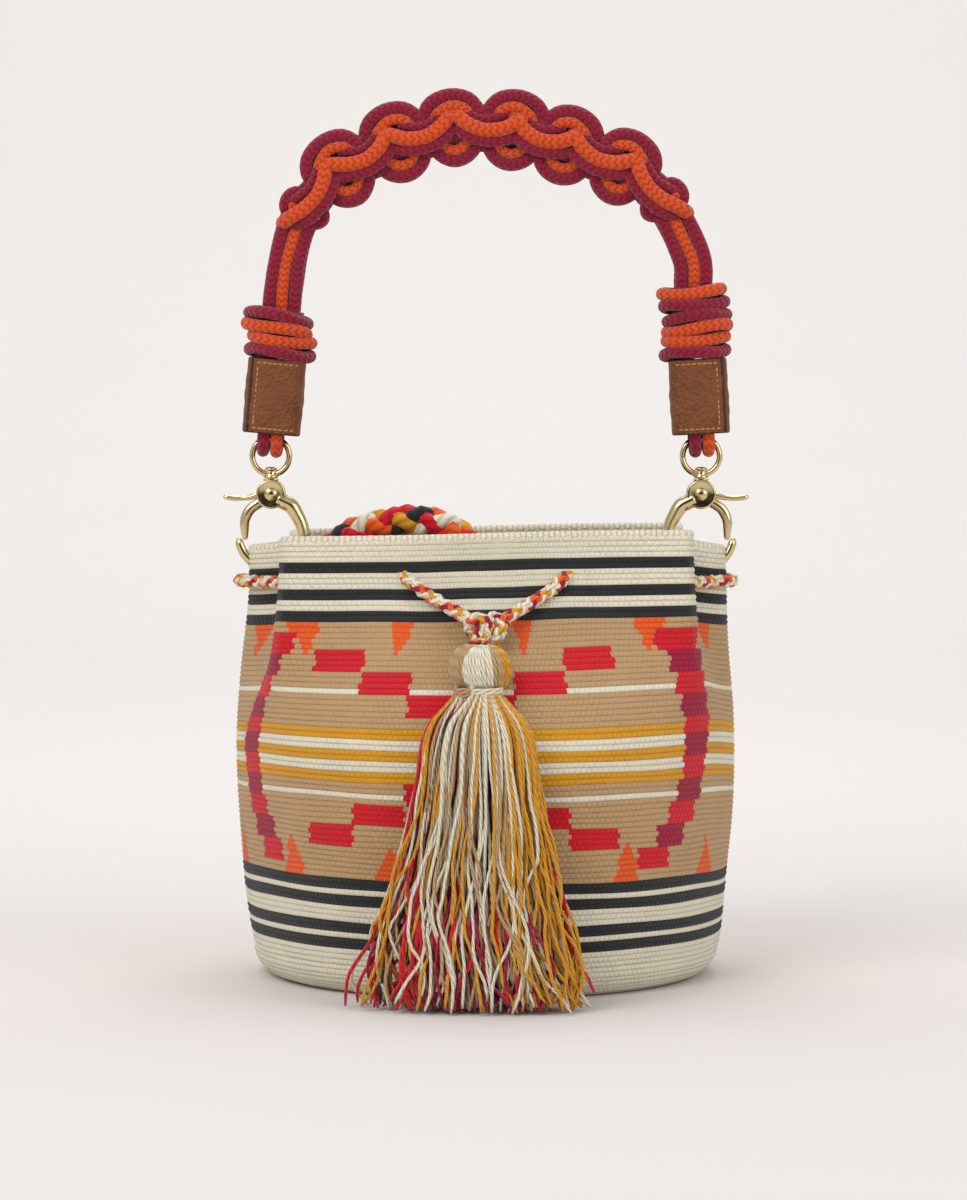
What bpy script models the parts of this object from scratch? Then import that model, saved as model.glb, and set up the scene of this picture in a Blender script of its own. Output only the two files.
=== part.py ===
# Crochet bucket bag: drawstring and two tassels in front, a braided strap tucked inside,
# and a knotted rope handle clipped to both side folds by swivel clasps.
# Metres, +Z up, front towards -Y, +X to the right, origin at the middle of the base.

import math

import bmesh
import bpy
from mathutils import Matrix, Vector

# Fits
GAP = 0.0003
SOFT_GAP = 0.0008
EYELET_CLEARANCE = 0.0004

# Crochet shell
BASE_RADIUS = 0.093
BASE_CORNER = 0.012
BELLY_RADIUS = 0.0996
BELLY_HEIGHT = 0.099
WALL = 0.0032
PLEAT_START = 0.090
FRONT_HEIGHT = 0.1755
EAR_HEIGHT = 0.1695
RIM_TILT = 0.0015
EAR_REACH = 0.096
VALLEY_REACH = 0.077
PANEL_DEPTH = 0.052
VALLEY_ANGLE = math.radians(17)
CORNER_ANGLE = math.radians(33)
FOLD_SOFTNESS = math.radians(3)
SHELL_SEGMENTS = 72
BASE_RINGS = 2
CORNER_STEPS = 3
WALL_STEPS = 10

# Drawstring, knot and tassels
DRAWSTRING_RADIUS = 0.0025
KNOT_RADIUS = 0.0053
KNOT_CONTACT_HEIGHT = 0.137
HANGER_RADIUS = 0.0014
TASSEL_STANDOFF = 0.0026
TASSEL_HEAD_HEIGHT = 0.127
TASSEL_HEAD_RADIUS = 0.0082
TASSEL_HEAD_LENGTH = 0.0168
TASSEL_HEAD_SPACING = 0.0173
TASSEL_MIDDLE = -0.0042
TASSEL_NECK_RADIUS = 0.0046
TASSEL_HALF_DEPTH = 0.0105
TASSEL_HEM = 0.0006
TASSEL_HALF_GAP = 0.0004
TIE_RADIUS = 0.0009

# Strap
STRAP_RADIUS = 0.0048
STRAP_END_WIDTH = 0.014
STRAP_END_DEPTH = 0.010
STRAP_END_HEIGHT = 0.138
STRAP_END_ANGLE = math.radians(41)
COIL_RADIUS = 0.050
COIL_TURNS_HIGH = 2

# Clasps, measured outwards from each clasp's own upright axis
CLASP_REACH = 0.0860
HOOK_ABOVE_EAR = 0.0055
HOOK_CENTRE = EAR_HEIGHT + HOOK_ABOVE_EAR
HOOK_RADIUS = 0.013
HOOK_WIRE = 0.0015
HOOK_TIP_ANGLE = math.radians(355)
HOOK_HOLE_WIDTH = 0.009
HOOK_HOLE_RISE = 0.0074
RIVET_ABOVE_HOOK = 0.0164
RIVET_HEIGHT = HOOK_CENTRE + RIVET_ABOVE_HOOK
RIVET_RADIUS = 0.001
RIVET_HEAD = 0.0019
RIVET_HEAD_THICKNESS = 0.0006
HUB_RADIUS = 0.0022
TRIGGER_HALF = 0.001
TRIGGER_WIRE = 0.0009
GATE_LAP = 0.0008
SLOT_HALF = 0.00135
BODY_HALF_DEPTH = 0.0027
BODY_HALF_WIDTH = 0.0052
BODY_BELOW_RIVET = 0.0049
BODY_ABOVE_RIVET = 0.0041
BODY_BOTTOM = RIVET_HEIGHT - BODY_BELOW_RIVET
BODY_TOP = RIVET_HEIGHT + BODY_ABOVE_RIVET
SPUR_REACH = 0.019
COLLAR_RADIUS = 0.003
COLLAR_HEIGHT = 0.0019
COLLAR_TOP = BODY_TOP + COLLAR_HEIGHT
POST_RADIUS = 0.0013
POST_HEAD_RADIUS = 0.0026
POST_HEAD_THICKNESS = 0.0015
BOSS_HEIGHT = 0.0029
RING_ABOVE_COLLAR = 0.0092
RING_CENTRE = COLLAR_TOP + RING_ABOVE_COLLAR
RING_RADIUS = 0.0074
RING_WIRE = 0.00115
SPRING_THICKNESS = 0.00045
SPRING_LENGTH = 0.0055

# Handle
ROPE_RADIUS = 0.0025
LOOP_BEND = 0.0055
SLEEVE_WIDTH = 0.023
SLEEVE_DEPTH = 0.0200
SLEEVE_LENGTH = 0.030
SLEEVE_WALL = 0.0016
SLEEVE_CORNER = 0.006
SLEEVE_LIFT = 0.0014
LEFT_LEAN = math.radians(5)
RIGHT_LEAN = math.radians(-3)
END_KNOT_RADIUS = 0.0145
END_KNOT_FLATNESS = 0.8
END_KNOT_TURN = 0.0095
LEFT_KNOT_TURNS = 2
RIGHT_KNOT_TURNS = 3
GRIP_CORD_WIDTH = 0.0052
GRIP_HALF_DEPTH = 0.0048
WRAP_COUNT = 11
WRAP_PITCH = 0.0126
FIRST_WRAP = 0.042
WRAP_RADIUS = 0.0105
WRAP_CORD = 0.0050
WRAP_FLATNESS = 0.66
WRAP_TILT = math.radians(-28)


def clear_scene():
    for thing in list(bpy.data.objects):
        bpy.data.objects.remove(thing)


def new_collection(name):
    collection = bpy.data.collections.new(name)
    bpy.context.scene.collection.children.link(collection)
    return collection


def material(name, colour, roughness, metallic=0.0):
    finish = bpy.data.materials.new(name)
    finish.use_nodes = True
    shader = finish.node_tree.nodes["Principled BSDF"]
    shader.inputs["Base Color"].default_value = (*colour, 1.0)
    shader.inputs["Roughness"].default_value = roughness
    shader.inputs["Metallic"].default_value = metallic
    return finish


clear_scene()
BAG = new_collection("crossbody_bag")
CUTTERS = new_collection("cutters")
CREAM = material("cream_crochet", (0.72, 0.64, 0.52), 0.9)
YARN = material("mixed_yarn", (0.70, 0.45, 0.16), 0.9)
CORD = material("twisted_cord", (0.75, 0.35, 0.20), 0.85)
STRAP = material("braided_strap", (0.75, 0.12, 0.05), 0.85)
GOLD = material("pale_gold_metal", (0.80, 0.62, 0.32), 0.25, 1.0)
CRIMSON = material("crimson_rope", (0.35, 0.01, 0.03), 0.85)
ORANGE = material("orange_rope", (0.78, 0.10, 0.02), 0.85)
LEATHER = material("brown_leather", (0.26, 0.09, 0.03), 0.6)


def place(thing, collection):
    for owner in list(thing.users_collection):
        owner.objects.unlink(thing)
    collection.objects.link(thing)
    return thing


def finish_piece(thing, name, finish):
    thing.name = name
    thing.data.name = name
    thing.data.materials.clear()
    thing.data.materials.append(finish)
    if thing.type == "MESH":
        thing.data.shade_smooth()
        thing.data.set_sharp_from_angle(angle=math.radians(40))
    return place(thing, BAG)


def as_cutter(thing, name):
    thing.name = name
    thing.hide_render = True
    thing.display_type = "WIRE"
    return place(thing, CUTTERS)


def mesh_object(name, work):
    mesh = bpy.data.meshes.new(name)
    work.to_mesh(mesh)
    work.free()
    thing = bpy.data.objects.new(name, mesh)
    bpy.context.scene.collection.objects.link(thing)
    return thing


def curve_as_mesh(thing):
    bpy.context.view_layer.update()
    graph = bpy.context.evaluated_depsgraph_get()
    mesh = bpy.data.meshes.new_from_object(thing.evaluated_get(graph))
    work = bmesh.new()
    work.from_mesh(mesh)
    bmesh.ops.remove_doubles(work, verts=work.verts, dist=0.00001)
    bmesh.ops.recalc_face_normals(work, faces=work.faces)
    work.to_mesh(mesh)
    work.free()
    solid = bpy.data.objects.new(thing.name + "_solid", mesh)
    solid.matrix_world = thing.matrix_world
    bpy.context.scene.collection.objects.link(solid)
    bpy.data.objects.remove(thing)
    return solid


def combine(target, tool, operation):
    step = target.modifiers.new(operation.lower() + "_" + tool.name, "BOOLEAN")
    step.operation = operation
    step.solver = "EXACT"
    step.object = tool
    as_cutter(tool, tool.name)


def cylinder(name, radius, length, centre, axis="Z"):
    bpy.ops.mesh.primitive_cylinder_add(vertices=16, radius=radius, depth=length, location=centre)
    thing = bpy.context.object
    thing.name = name
    if axis == "X":
        thing.rotation_euler = (0, math.pi / 2, 0)
    if axis == "Y":
        thing.rotation_euler = (math.pi / 2, 0, 0)
    return thing


def box(name, size, centre):
    work = bmesh.new()
    bmesh.ops.create_cube(work, size=1.0)
    bmesh.ops.scale(work, vec=size, verts=work.verts)
    thing = mesh_object(name, work)
    thing.location = centre
    return thing


def bevel(thing, width, segments):
    edge = thing.modifiers.new("edge", "BEVEL")
    edge.width = width
    edge.segments = segments
    edge.limit_method = "ANGLE"


def tube(name, points, radius, resolution=2):
    curve = bpy.data.curves.new(name, "CURVE")
    curve.dimensions = "3D"
    curve.bevel_depth = radius
    curve.bevel_resolution = resolution
    curve.use_fill_caps = True
    spline = curve.splines.new("POLY")
    spline.points.add(len(points) - 1)
    for knot, point in zip(spline.points, points):
        knot.co = (*point, 1.0)
    thing = bpy.data.objects.new(name, curve)
    bpy.context.scene.collection.objects.link(thing)
    return thing


def turned(name, profile, steps):
    curve_line = bpy.data.meshes.new(name)
    edges = [(index, index + 1) for index in range(len(profile) - 1)]
    curve_line.from_pydata([(reach, 0, height) for reach, height in profile], edges, [])
    thing = bpy.data.objects.new(name, curve_line)
    bpy.context.scene.collection.objects.link(thing)
    screw = thing.modifiers.new("turn", "SCREW")
    screw.steps = steps
    screw.render_steps = steps
    screw.use_merge_vertices = True
    screw.merge_threshold = 0.00001
    return thing


def smooth_route(points, spacing):
    """Points at an even spacing along a smooth curve through the given points."""
    points = [Vector(point) for point in points]
    padded = [2 * points[0] - points[1]] + points + [2 * points[-1] - points[-2]]
    fine = []
    for index in range(1, len(padded) - 2):
        before, start, end, after = padded[index - 1:index + 3]
        for step in range(12):
            t = step / 12
            fine.append(0.5 * (2 * start + (end - before) * t
                               + (2 * before - 5 * start + 4 * end - after) * t * t
                               + (3 * start - before - 3 * end + after) * t * t * t))
    fine.append(points[-1])
    return evenly(fine, spacing)


def evenly(fine, spacing):
    lengths = [0.0]
    for start, end in zip(fine, fine[1:]):
        lengths.append(lengths[-1] + (end - start).length)
    count = max(2, round(lengths[-1] / spacing))
    route = []
    at = 0
    for step in range(count + 1):
        wanted = lengths[-1] * step / count
        while at < len(fine) - 2 and lengths[at + 1] < wanted:
            at += 1
        share = (wanted - lengths[at]) / max(lengths[at + 1] - lengths[at], 1e-9)
        route.append(fine[at].lerp(fine[at + 1], min(share, 1.0)))
    return route


def ease(start, end, share):
    return start + (end - start) * (1 - math.cos(math.pi * share)) / 2


def smooth_step(value):
    value = min(max(value, 0.0), 1.0)
    return value * value * (3 - 2 * value)


# The shell's outer face is a function of the angle round Z and the height

def turn_from_side(angle):
    return math.asin(min(abs(math.sin(angle)), 1.0))


def fold_reach(angle):
    turn = turn_from_side(angle)
    if turn < VALLEY_ANGLE:
        return ease(EAR_REACH, VALLEY_REACH, turn / VALLEY_ANGLE)
    if turn < CORNER_ANGLE:
        corner_reach = PANEL_DEPTH / math.sin(CORNER_ANGLE)
        return ease(VALLEY_REACH, corner_reach, (turn - VALLEY_ANGLE) / (CORNER_ANGLE - VALLEY_ANGLE))
    return PANEL_DEPTH / math.sin(turn)


def rim_reach(angle):
    sides = fold_reach(angle - FOLD_SOFTNESS) + fold_reach(angle + FOLD_SOFTNESS)
    return (2 * fold_reach(angle) + sides) / 4


def rim_height(angle):
    front = smooth_step(turn_from_side(angle) / CORNER_ANGLE)
    return EAR_HEIGHT + (FRONT_HEIGHT - EAR_HEIGHT + RIM_TILT * math.cos(angle)) * front


def round_reach(height):
    rise = (height - BASE_CORNER) / (BELLY_HEIGHT - BASE_CORNER)
    return BASE_RADIUS + (BELLY_RADIUS - BASE_RADIUS) * (1 - (1 - rise) ** 2)


def wall_reach(angle, height):
    pleat = smooth_step((height - PLEAT_START) / (FRONT_HEIGHT - PLEAT_START))
    return round_reach(height) + (rim_reach(angle) - round_reach(height)) * pleat


def wall_point(angle, height, stand_off=0.0):
    reach = wall_reach(angle, height) + stand_off
    return Vector((reach * math.cos(angle), reach * math.sin(angle), height))


def wall_normal(angle, height):
    step = 0.01
    along = wall_point(angle + step, height) - wall_point(angle - step, height)
    upward = wall_point(angle, height + step * WALL) - wall_point(angle, height - step * WALL)
    return along.cross(upward).normalized()


def shell_levels(angle):
    flat = BASE_RADIUS - BASE_CORNER
    levels = [(flat * ring / BASE_RINGS, 0.0) for ring in range(1, BASE_RINGS + 1)]
    for step in range(1, CORNER_STEPS + 1):
        bend = math.pi / 2 * step / CORNER_STEPS
        levels.append((flat + BASE_CORNER * math.sin(bend), BASE_CORNER * (1 - math.cos(bend))))
    for step in range(1, WALL_STEPS + 1):
        height = BASE_CORNER + (rim_height(angle) - BASE_CORNER) * step / WALL_STEPS
        levels.append((wall_reach(angle, height), height))
    return levels


def hook_hole_height():
    """The height at which the hook's round bottom crosses the side fold's wall."""
    out = EAR_REACH - WALL / 2 - CLASP_REACH
    return HOOK_CENTRE - math.sqrt(HOOK_RADIUS ** 2 - out ** 2)


def bag_shell():
    work = bmesh.new()
    middle = work.verts.new((0, 0, 0))
    columns = []
    for segment in range(SHELL_SEGMENTS):
        angle = 2 * math.pi * segment / SHELL_SEGMENTS
        columns.append([work.verts.new((reach * math.cos(angle), reach * math.sin(angle), height))
                        for reach, height in shell_levels(angle)])
    for segment, column in enumerate(columns):
        following = columns[(segment + 1) % SHELL_SEGMENTS]
        work.faces.new((middle, following[0], column[0]))
        for level in range(len(column) - 1):
            work.faces.new((column[level], following[level], following[level + 1], column[level + 1]))
    shell = mesh_object("bag_shell", work)
    wall = shell.modifiers.new("wall", "SOLIDIFY")
    wall.thickness = WALL
    wall.offset = -1
    wall.use_even_offset = True
    channel = tube("drawstring_channel", drawstring_route(), DRAWSTRING_RADIUS + EYELET_CLEARANCE)
    combine(shell, curve_as_mesh(channel), "DIFFERENCE")
    for side, name in ((-1, "left_hook_hole"), (1, "right_hook_hole")):
        hole = cylinder(name, 0.5, 4 * WALL, (side * (EAR_REACH - WALL / 2), 0, hook_hole_height()), "X")
        hole.scale = (HOOK_HOLE_RISE, HOOK_HOLE_WIDTH, 1)
        combine(shell, hole, "DIFFERENCE")
    finish_piece(shell, "bag_shell", CREAM)


# The drawstring: turn in degrees from the side, height, and distance out from the wall's outer face

EAR_PASS = [(0, 0.1570, 0.0030), (5, 0.1570, 0.0041), (10, 0.1570, 0.0049), (17.3, 0.1573, 0.0080),
            (25, 0.1576, -0.0020), (33, 0.1580, -0.0092), (39, 0.1586, -0.0068)]
FRONT_PASS = [(48, 0.1600, -0.0066), (55, 0.1610, -0.0048), (59, 0.1608, -0.0016),
              (63, 0.1590, 0.0022), (69, 0.1545, 0.0032)]
BACK_PASS = [(48, 0.1592, -0.0066), (55, 0.1595, -0.0048), (59, 0.1595, -0.0016),
             (64, 0.1595, 0.0020), (72, 0.1595, 0.0030), (81, 0.1595, 0.0030)]


def cord_pass(stations, side, front):
    points = []
    for turn, height, stand_off in stations:
        angle = math.atan2(front * math.sin(math.radians(turn)), side * math.cos(math.radians(turn)))
        points.append(wall_point(angle, height, stand_off))
    return points


def knot_centre():
    """The knot rests against the sloping front wall."""
    contact = wall_point(-math.pi / 2, KNOT_CONTACT_HEIGHT)
    return contact + wall_normal(-math.pi / 2, KNOT_CONTACT_HEIGHT) * (KNOT_RADIUS + SOFT_GAP)


def drawstring_half(side):
    front = cord_pass(EAR_PASS[1:] + FRONT_PASS, side, -1)
    towards = (front[-1] - knot_centre()).normalized()
    front.append(knot_centre() + towards * (KNOT_RADIUS + GAP))
    back = cord_pass(EAR_PASS + BACK_PASS, side, 1)
    return front[::-1] + back


def drawstring_route():
    middle = wall_point(math.pi / 2, BACK_PASS[-1][1], BACK_PASS[-1][2])
    return smooth_route(drawstring_half(-1) + [middle] + drawstring_half(1)[::-1], 4 * DRAWSTRING_RADIUS)


def drawstring():
    cord = tube("drawstring", drawstring_route(), DRAWSTRING_RADIUS)
    finish_piece(cord, "drawstring", CORD)
    bpy.ops.mesh.primitive_uv_sphere_add(segments=14, ring_count=8, radius=KNOT_RADIUS)
    knot = bpy.context.object
    knot.location = knot_centre()
    finish_piece(knot, "drawstring_knot", CORD)


# Tassels: both fall from one knot, lie against the belly and fan out to the floor

def fall_depth(height, half_depth):
    """The Y of a tassel's middle, its back just clear of the wall or of the belly above it."""
    clear_of = BELLY_RADIUS if height < BELLY_HEIGHT else wall_reach(-math.pi / 2, height)
    return -(clear_of + TASSEL_STANDOFF + half_depth)


# Height and the fall's outer edge on the left and on the right of the two tassels
TASSEL_FAN = [(0.112, -0.0190, 0.0118), (0.100, -0.0230, 0.0170), (0.084, -0.0270, 0.0225),
              (0.066, -0.0315, 0.0280), (0.048, -0.0365, 0.0320), (0.030, -0.0420, 0.0355),
              (0.014, -0.0465, 0.0385), (TASSEL_HEM, -0.0490, 0.0400)]


def head_x(side):
    return TASSEL_MIDDLE + side * TASSEL_HEAD_SPACING / 2


def head_sections(side):
    sections = []
    for step in range(1, 6):
        bend = math.pi * step / 6.6
        reach = TASSEL_HEAD_RADIUS * math.sin(bend)
        height = TASSEL_HEAD_HEIGHT + TASSEL_HEAD_LENGTH / 2 * math.cos(bend)
        sections.append((height, head_x(side), reach, reach * 0.9))
    neck = TASSEL_HEAD_HEIGHT - TASSEL_HEAD_LENGTH / 2
    sections.append((neck, head_x(side), TASSEL_NECK_RADIUS, TASSEL_NECK_RADIUS))
    return sections


def fan_sections(side):
    sections = []
    for height, left, right in TASSEL_FAN:
        inner = TASSEL_MIDDLE + side * TASSEL_HALF_GAP
        outer = left if side < 0 else right
        spread = smooth_step((TASSEL_FAN[0][0] - height) / TASSEL_FAN[0][0])
        half_depth = TASSEL_NECK_RADIUS + (TASSEL_HALF_DEPTH - TASSEL_NECK_RADIUS) * spread ** 0.5
        sections.append((height, (inner + outer) / 2, abs(outer - inner) / 2, half_depth))
    return sections


def tassel(name, side):
    work = bmesh.new()
    rings = []
    for height, middle, half_width, half_depth in head_sections(side) + fan_sections(side):
        depth = fall_depth(height, half_depth)
        ring = []
        for step in range(16):
            angle = 2 * math.pi * step / 16
            x = middle + half_width * math.cos(angle)
            ring.append(work.verts.new((x, depth + half_depth * math.sin(angle), height)))
        rings.append(ring)
    for upper, lower in zip(rings, rings[1:]):
        for step in range(16):
            after = (step + 1) % 16
            work.faces.new((upper[step], lower[step], lower[after], upper[after]))
    work.faces.new(rings[0])
    work.faces.new(rings[-1][::-1])
    finish_piece(mesh_object(name, work), name, YARN)


def tassel_tie(name, side):
    neck = TASSEL_HEAD_HEIGHT - TASSEL_HEAD_LENGTH / 2
    reach = TASSEL_NECK_RADIUS + GAP + TIE_RADIUS
    bpy.ops.mesh.primitive_torus_add(major_radius=reach, minor_radius=TIE_RADIUS,
                                     major_segments=14, minor_segments=6)
    tie = bpy.context.object
    tie.location = (head_x(side), fall_depth(neck, TASSEL_NECK_RADIUS), neck)
    finish_piece(tie, name, YARN)


def tassel_hanger():
    top = TASSEL_HEAD_HEIGHT + TASSEL_HEAD_LENGTH / 2 + HANGER_RADIUS
    depth = fall_depth(TASSEL_HEAD_HEIGHT, TASSEL_HEAD_RADIUS * 0.9)
    reach = KNOT_RADIUS + GAP + HANGER_RADIUS
    under = knot_centre() + Vector((0, -0.85, -0.53)) * reach
    ends = [Vector((head_x(side), depth, top)) for side in (-1, 1)]
    shoulders = [end.lerp(under, 0.45) + Vector((0, 0, HANGER_RADIUS)) for end in ends]
    route = smooth_route([ends[0], shoulders[0], under, shoulders[1], ends[1]], 2.2 * HANGER_RADIUS)
    finish_piece(tube("tassel_hanger", route, HANGER_RADIUS), "tassel_hanger", CORD)


# Strap: sewn end, hump over the back rim, down to a coil on the floor, and up to the other end

def floor_coil_top():
    return WALL + SOFT_GAP + COIL_TURNS_HIGH * 2 * STRAP_RADIUS


def strap_end(name, side, leaves):
    """A sewn end on the inner face; the strap leaves it upwards (1) or downwards (-1)."""
    angle = math.atan2(math.sin(STRAP_END_ANGLE), side * math.cos(STRAP_END_ANGLE))
    inward = -wall_normal(angle, STRAP_END_HEIGHT)
    seat = wall_point(angle, STRAP_END_HEIGHT) + inward * (WALL + SOFT_GAP + STRAP_END_DEPTH / 2)
    pad = box(name, (STRAP_END_WIDTH, STRAP_END_DEPTH, STRAP_END_WIDTH), seat)
    bevel(pad, 0.002, 2)
    across = inward.cross(Vector((0, 0, 1))).normalized()
    upward = across.cross(inward)
    pad.rotation_euler = Matrix((across, inward, upward)).transposed().to_euler()
    finish_piece(pad, name, STRAP)
    start = seat + upward * leaves * (STRAP_END_WIDTH / 2 + SOFT_GAP)
    return [start, start + upward * leaves * 1.6 * STRAP_RADIUS]


def strap():
    left_start = strap_end("strap_left_end", -1, 1)
    right_start = strap_end("strap_right_end", 1, -1)
    on_coil = floor_coil_top() + SOFT_GAP + STRAP_RADIUS
    hump = left_start + [(-0.0605, 0.0385, 0.1515), (-0.0655, 0.0355, 0.1640), (-0.0560, 0.0370, 0.1735),
            (-0.0440, 0.0370, 0.1775), (-0.0310, 0.0370, 0.1798), (-0.0180, 0.0370, 0.1775),
            (-0.0070, 0.0370, 0.1700), (-0.0010, 0.0370, 0.1580), (0.0020, 0.0380, 0.1400),
            (0.0050, 0.0400, 0.1150), (0.0110, 0.0430, 0.0850), (0.0200, 0.0455, 0.0580),
            (0.0330, 0.0400, 0.0400), (0.0430, 0.0265, on_coil), (0.0490, 0.0100, on_coil)]
    tail = [(0.0380, -0.0325, on_coil), (0.0520, -0.0240, 0.0370), (0.0650, -0.0060, 0.0520),
            (0.0710, 0.0140, 0.0780), (0.0700, 0.0290, 0.1050)] + right_start[::-1]
    for name, points in (("strap_hump", hump), ("strap_tail", tail)):
        route = smooth_route(points, 2 * STRAP_RADIUS)
        finish_piece(tube(name, route, STRAP_RADIUS), name, STRAP)
    strap_coil()


def strap_coil():
    bottom = WALL + SOFT_GAP
    top = floor_coil_top()
    middle = (bottom + top) / 2
    half_height = (top - bottom) / 2
    section = []
    for step in range(13):
        bend = math.pi / 2 - 2 * math.pi * step / 12
        section.append((COIL_RADIUS + STRAP_RADIUS * math.cos(bend), middle + half_height * math.sin(bend)))
    coil = turned("strap_coil", section, 24)
    finish_piece(coil, "strap_coil", STRAP)


# Clasps: points are given outwards from the clasp's axis, then mirrored by the side

def clasp_route(centre, side, points):
    return [Vector((centre + side * out, 0, height)) for out, height in points]


def swivel_eye(name, centre):
    bpy.ops.mesh.primitive_torus_add(major_radius=RING_RADIUS, minor_radius=RING_WIRE,
                                     major_segments=24, minor_segments=8)
    ring = bpy.context.object
    ring.location = (centre, 0, RING_CENTRE)
    ring.rotation_euler = (math.pi / 2, 0, 0)
    boss_middle = COLLAR_TOP + GAP + BOSS_HEIGHT / 2
    combine(ring, cylinder(name + "_boss", COLLAR_RADIUS, BOSS_HEIGHT, (centre, 0, boss_middle)), "UNION")
    bore = cylinder(name + "_bore", POST_RADIUS + GAP, 3 * BOSS_HEIGHT, (centre, 0, boss_middle))
    combine(ring, bore, "DIFFERENCE")
    finish_piece(ring, name, GOLD)


def swivel_post(name, centre):
    foot = BODY_TOP + GAP
    head = COLLAR_TOP + 2 * GAP + BOSS_HEIGHT + GAP
    top = head + POST_HEAD_THICKNESS
    profile = [(0, top), (POST_HEAD_RADIUS * 0.7, top), (POST_HEAD_RADIUS, top - POST_HEAD_THICKNESS * 0.4),
               (POST_HEAD_RADIUS, head), (POST_RADIUS, head), (POST_RADIUS, foot), (0, foot)]
    post = turned(name, profile, 14)
    post.location = (centre, 0, 0)
    finish_piece(post, name, GOLD)


def hook_points():
    points = [(-BODY_HALF_WIDTH + HOOK_WIRE, RIVET_HEIGHT - 2 * HOOK_WIRE),
              (-0.68 * HOOK_RADIUS, HOOK_CENTRE + 0.82 * HOOK_RADIUS),
              (-0.93 * HOOK_RADIUS, HOOK_CENTRE + 0.42 * HOOK_RADIUS)]
    steps = 10
    for step in range(steps + 1):
        bend = math.pi + (HOOK_TIP_ANGLE - math.pi) * step / steps
        points.append((HOOK_RADIUS * math.cos(bend), HOOK_CENTRE + HOOK_RADIUS * math.sin(bend)))
    return points


def hook(name, centre, side):
    height = BODY_TOP - BODY_BOTTOM
    body = box(name, (2 * BODY_HALF_WIDTH, 2 * BODY_HALF_DEPTH, height),
               (centre, 0, (BODY_TOP + BODY_BOTTOM) / 2))
    bevel(body, 0.0012, 2)
    collar_height = COLLAR_TOP - BODY_TOP + HOOK_WIRE
    collar_middle = COLLAR_TOP - collar_height / 2
    combine(body, cylinder(name + "_collar", COLLAR_RADIUS, collar_height, (centre, 0, collar_middle)), "UNION")
    arm = curve_as_mesh(tube(name + "_arm", clasp_route(centre, side, hook_points()), HOOK_WIRE))
    combine(body, arm, "UNION")
    slot_inner = -BODY_HALF_WIDTH + 1.1 * HOOK_WIRE
    slot_outer = BODY_HALF_WIDTH + HOOK_WIRE
    slot_top = RIVET_HEIGHT + HUB_RADIUS + 2 * GAP
    slot_bottom = BODY_BOTTOM - HOOK_WIRE
    slot = box(name + "_slot", (slot_outer - slot_inner, 2 * SLOT_HALF, slot_top - slot_bottom),
               (centre + side * (slot_inner + slot_outer) / 2, 0, (slot_top + slot_bottom) / 2))
    combine(body, slot, "DIFFERENCE")
    pin_bore = cylinder(name + "_pin_bore", RIVET_RADIUS + GAP, 4 * BODY_HALF_DEPTH,
                        (centre, 0, RIVET_HEIGHT), "Y")
    combine(body, pin_bore, "DIFFERENCE")
    depth = COLLAR_TOP - BODY_TOP
    post_bore = cylinder(name + "_post_bore", POST_RADIUS + GAP, 2 * depth, (centre, 0, COLLAR_TOP))
    combine(body, post_bore, "DIFFERENCE")
    finish_piece(body, name, GOLD)


def trigger(name, centre, side):
    hub = cylinder(name, HUB_RADIUS, 2 * TRIGGER_HALF, (0, 0, 0), "Y")
    hub.location = (centre, 0, RIVET_HEIGHT)
    spur = [(0.6 * HUB_RADIUS, RIVET_HEIGHT - 0.0002), (0.3 * SPUR_REACH, RIVET_HEIGHT - 0.0010),
            (0.6 * SPUR_REACH, RIVET_HEIGHT - 0.0013), (SPUR_REACH, RIVET_HEIGHT - 0.0008)]
    inside_tip = HOOK_RADIUS - HOOK_WIRE - GAP - TRIGGER_WIRE
    tip_height = HOOK_CENTRE + HOOK_RADIUS * math.sin(HOOK_TIP_ANGLE) - GATE_LAP
    gate = [(0.5 * HUB_RADIUS, RIVET_HEIGHT - 0.5 * HUB_RADIUS),
            (0.50 * HOOK_RADIUS, RIVET_HEIGHT - 0.0042), (0.80 * HOOK_RADIUS, RIVET_HEIGHT - 0.0092),
            (inside_tip, tip_height)]
    for part, points in (("spur", spur), ("gate", gate)):
        route = smooth_route(clasp_route(centre, side, points), 0.0035)
        arm = curve_as_mesh(tube(name + "_" + part, route, TRIGGER_WIRE))
        combine(hub, arm, "UNION")
    bore = cylinder(name + "_bore", RIVET_RADIUS + GAP, 4 * TRIGGER_HALF, (centre, 0, RIVET_HEIGHT), "Y")
    combine(hub, bore, "DIFFERENCE")
    finish_piece(hub, name, GOLD)


def rivet(name, centre):
    face = BODY_HALF_DEPTH + GAP
    end = face + RIVET_HEAD_THICKNESS
    profile = [(0, end), (RIVET_HEAD, end), (RIVET_HEAD, face), (RIVET_RADIUS, face),
               (RIVET_RADIUS, -face), (RIVET_HEAD, -face), (RIVET_HEAD, -end), (0, -end)]
    pin = turned(name, profile, 12)
    pin.location = (centre, 0, RIVET_HEIGHT)
    pin.rotation_euler = (math.pi / 2, 0, 0)
    finish_piece(pin, name, GOLD)


def trigger_spring(name, centre, side):
    wall = -BODY_HALF_WIDTH + 1.1 * HOOK_WIRE
    out = wall + GAP + SPRING_THICKNESS / 2
    leaf = box(name, (SPRING_THICKNESS, 1.6 * TRIGGER_HALF, SPRING_LENGTH),
               (centre + side * out, 0, RIVET_HEIGHT - SPRING_LENGTH / 6))
    finish_piece(leaf, name, GOLD)


def clasp(word, centre, side):
    swivel_eye(word + "_swivel_eye", centre)
    swivel_post(word + "_swivel_post", centre)
    hook(word + "_hook", centre, side)
    trigger(word + "_trigger", centre, side)
    rivet(word + "_rivet", centre)
    trigger_spring(word + "_trigger_spring", centre, side)


# Handle

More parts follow.
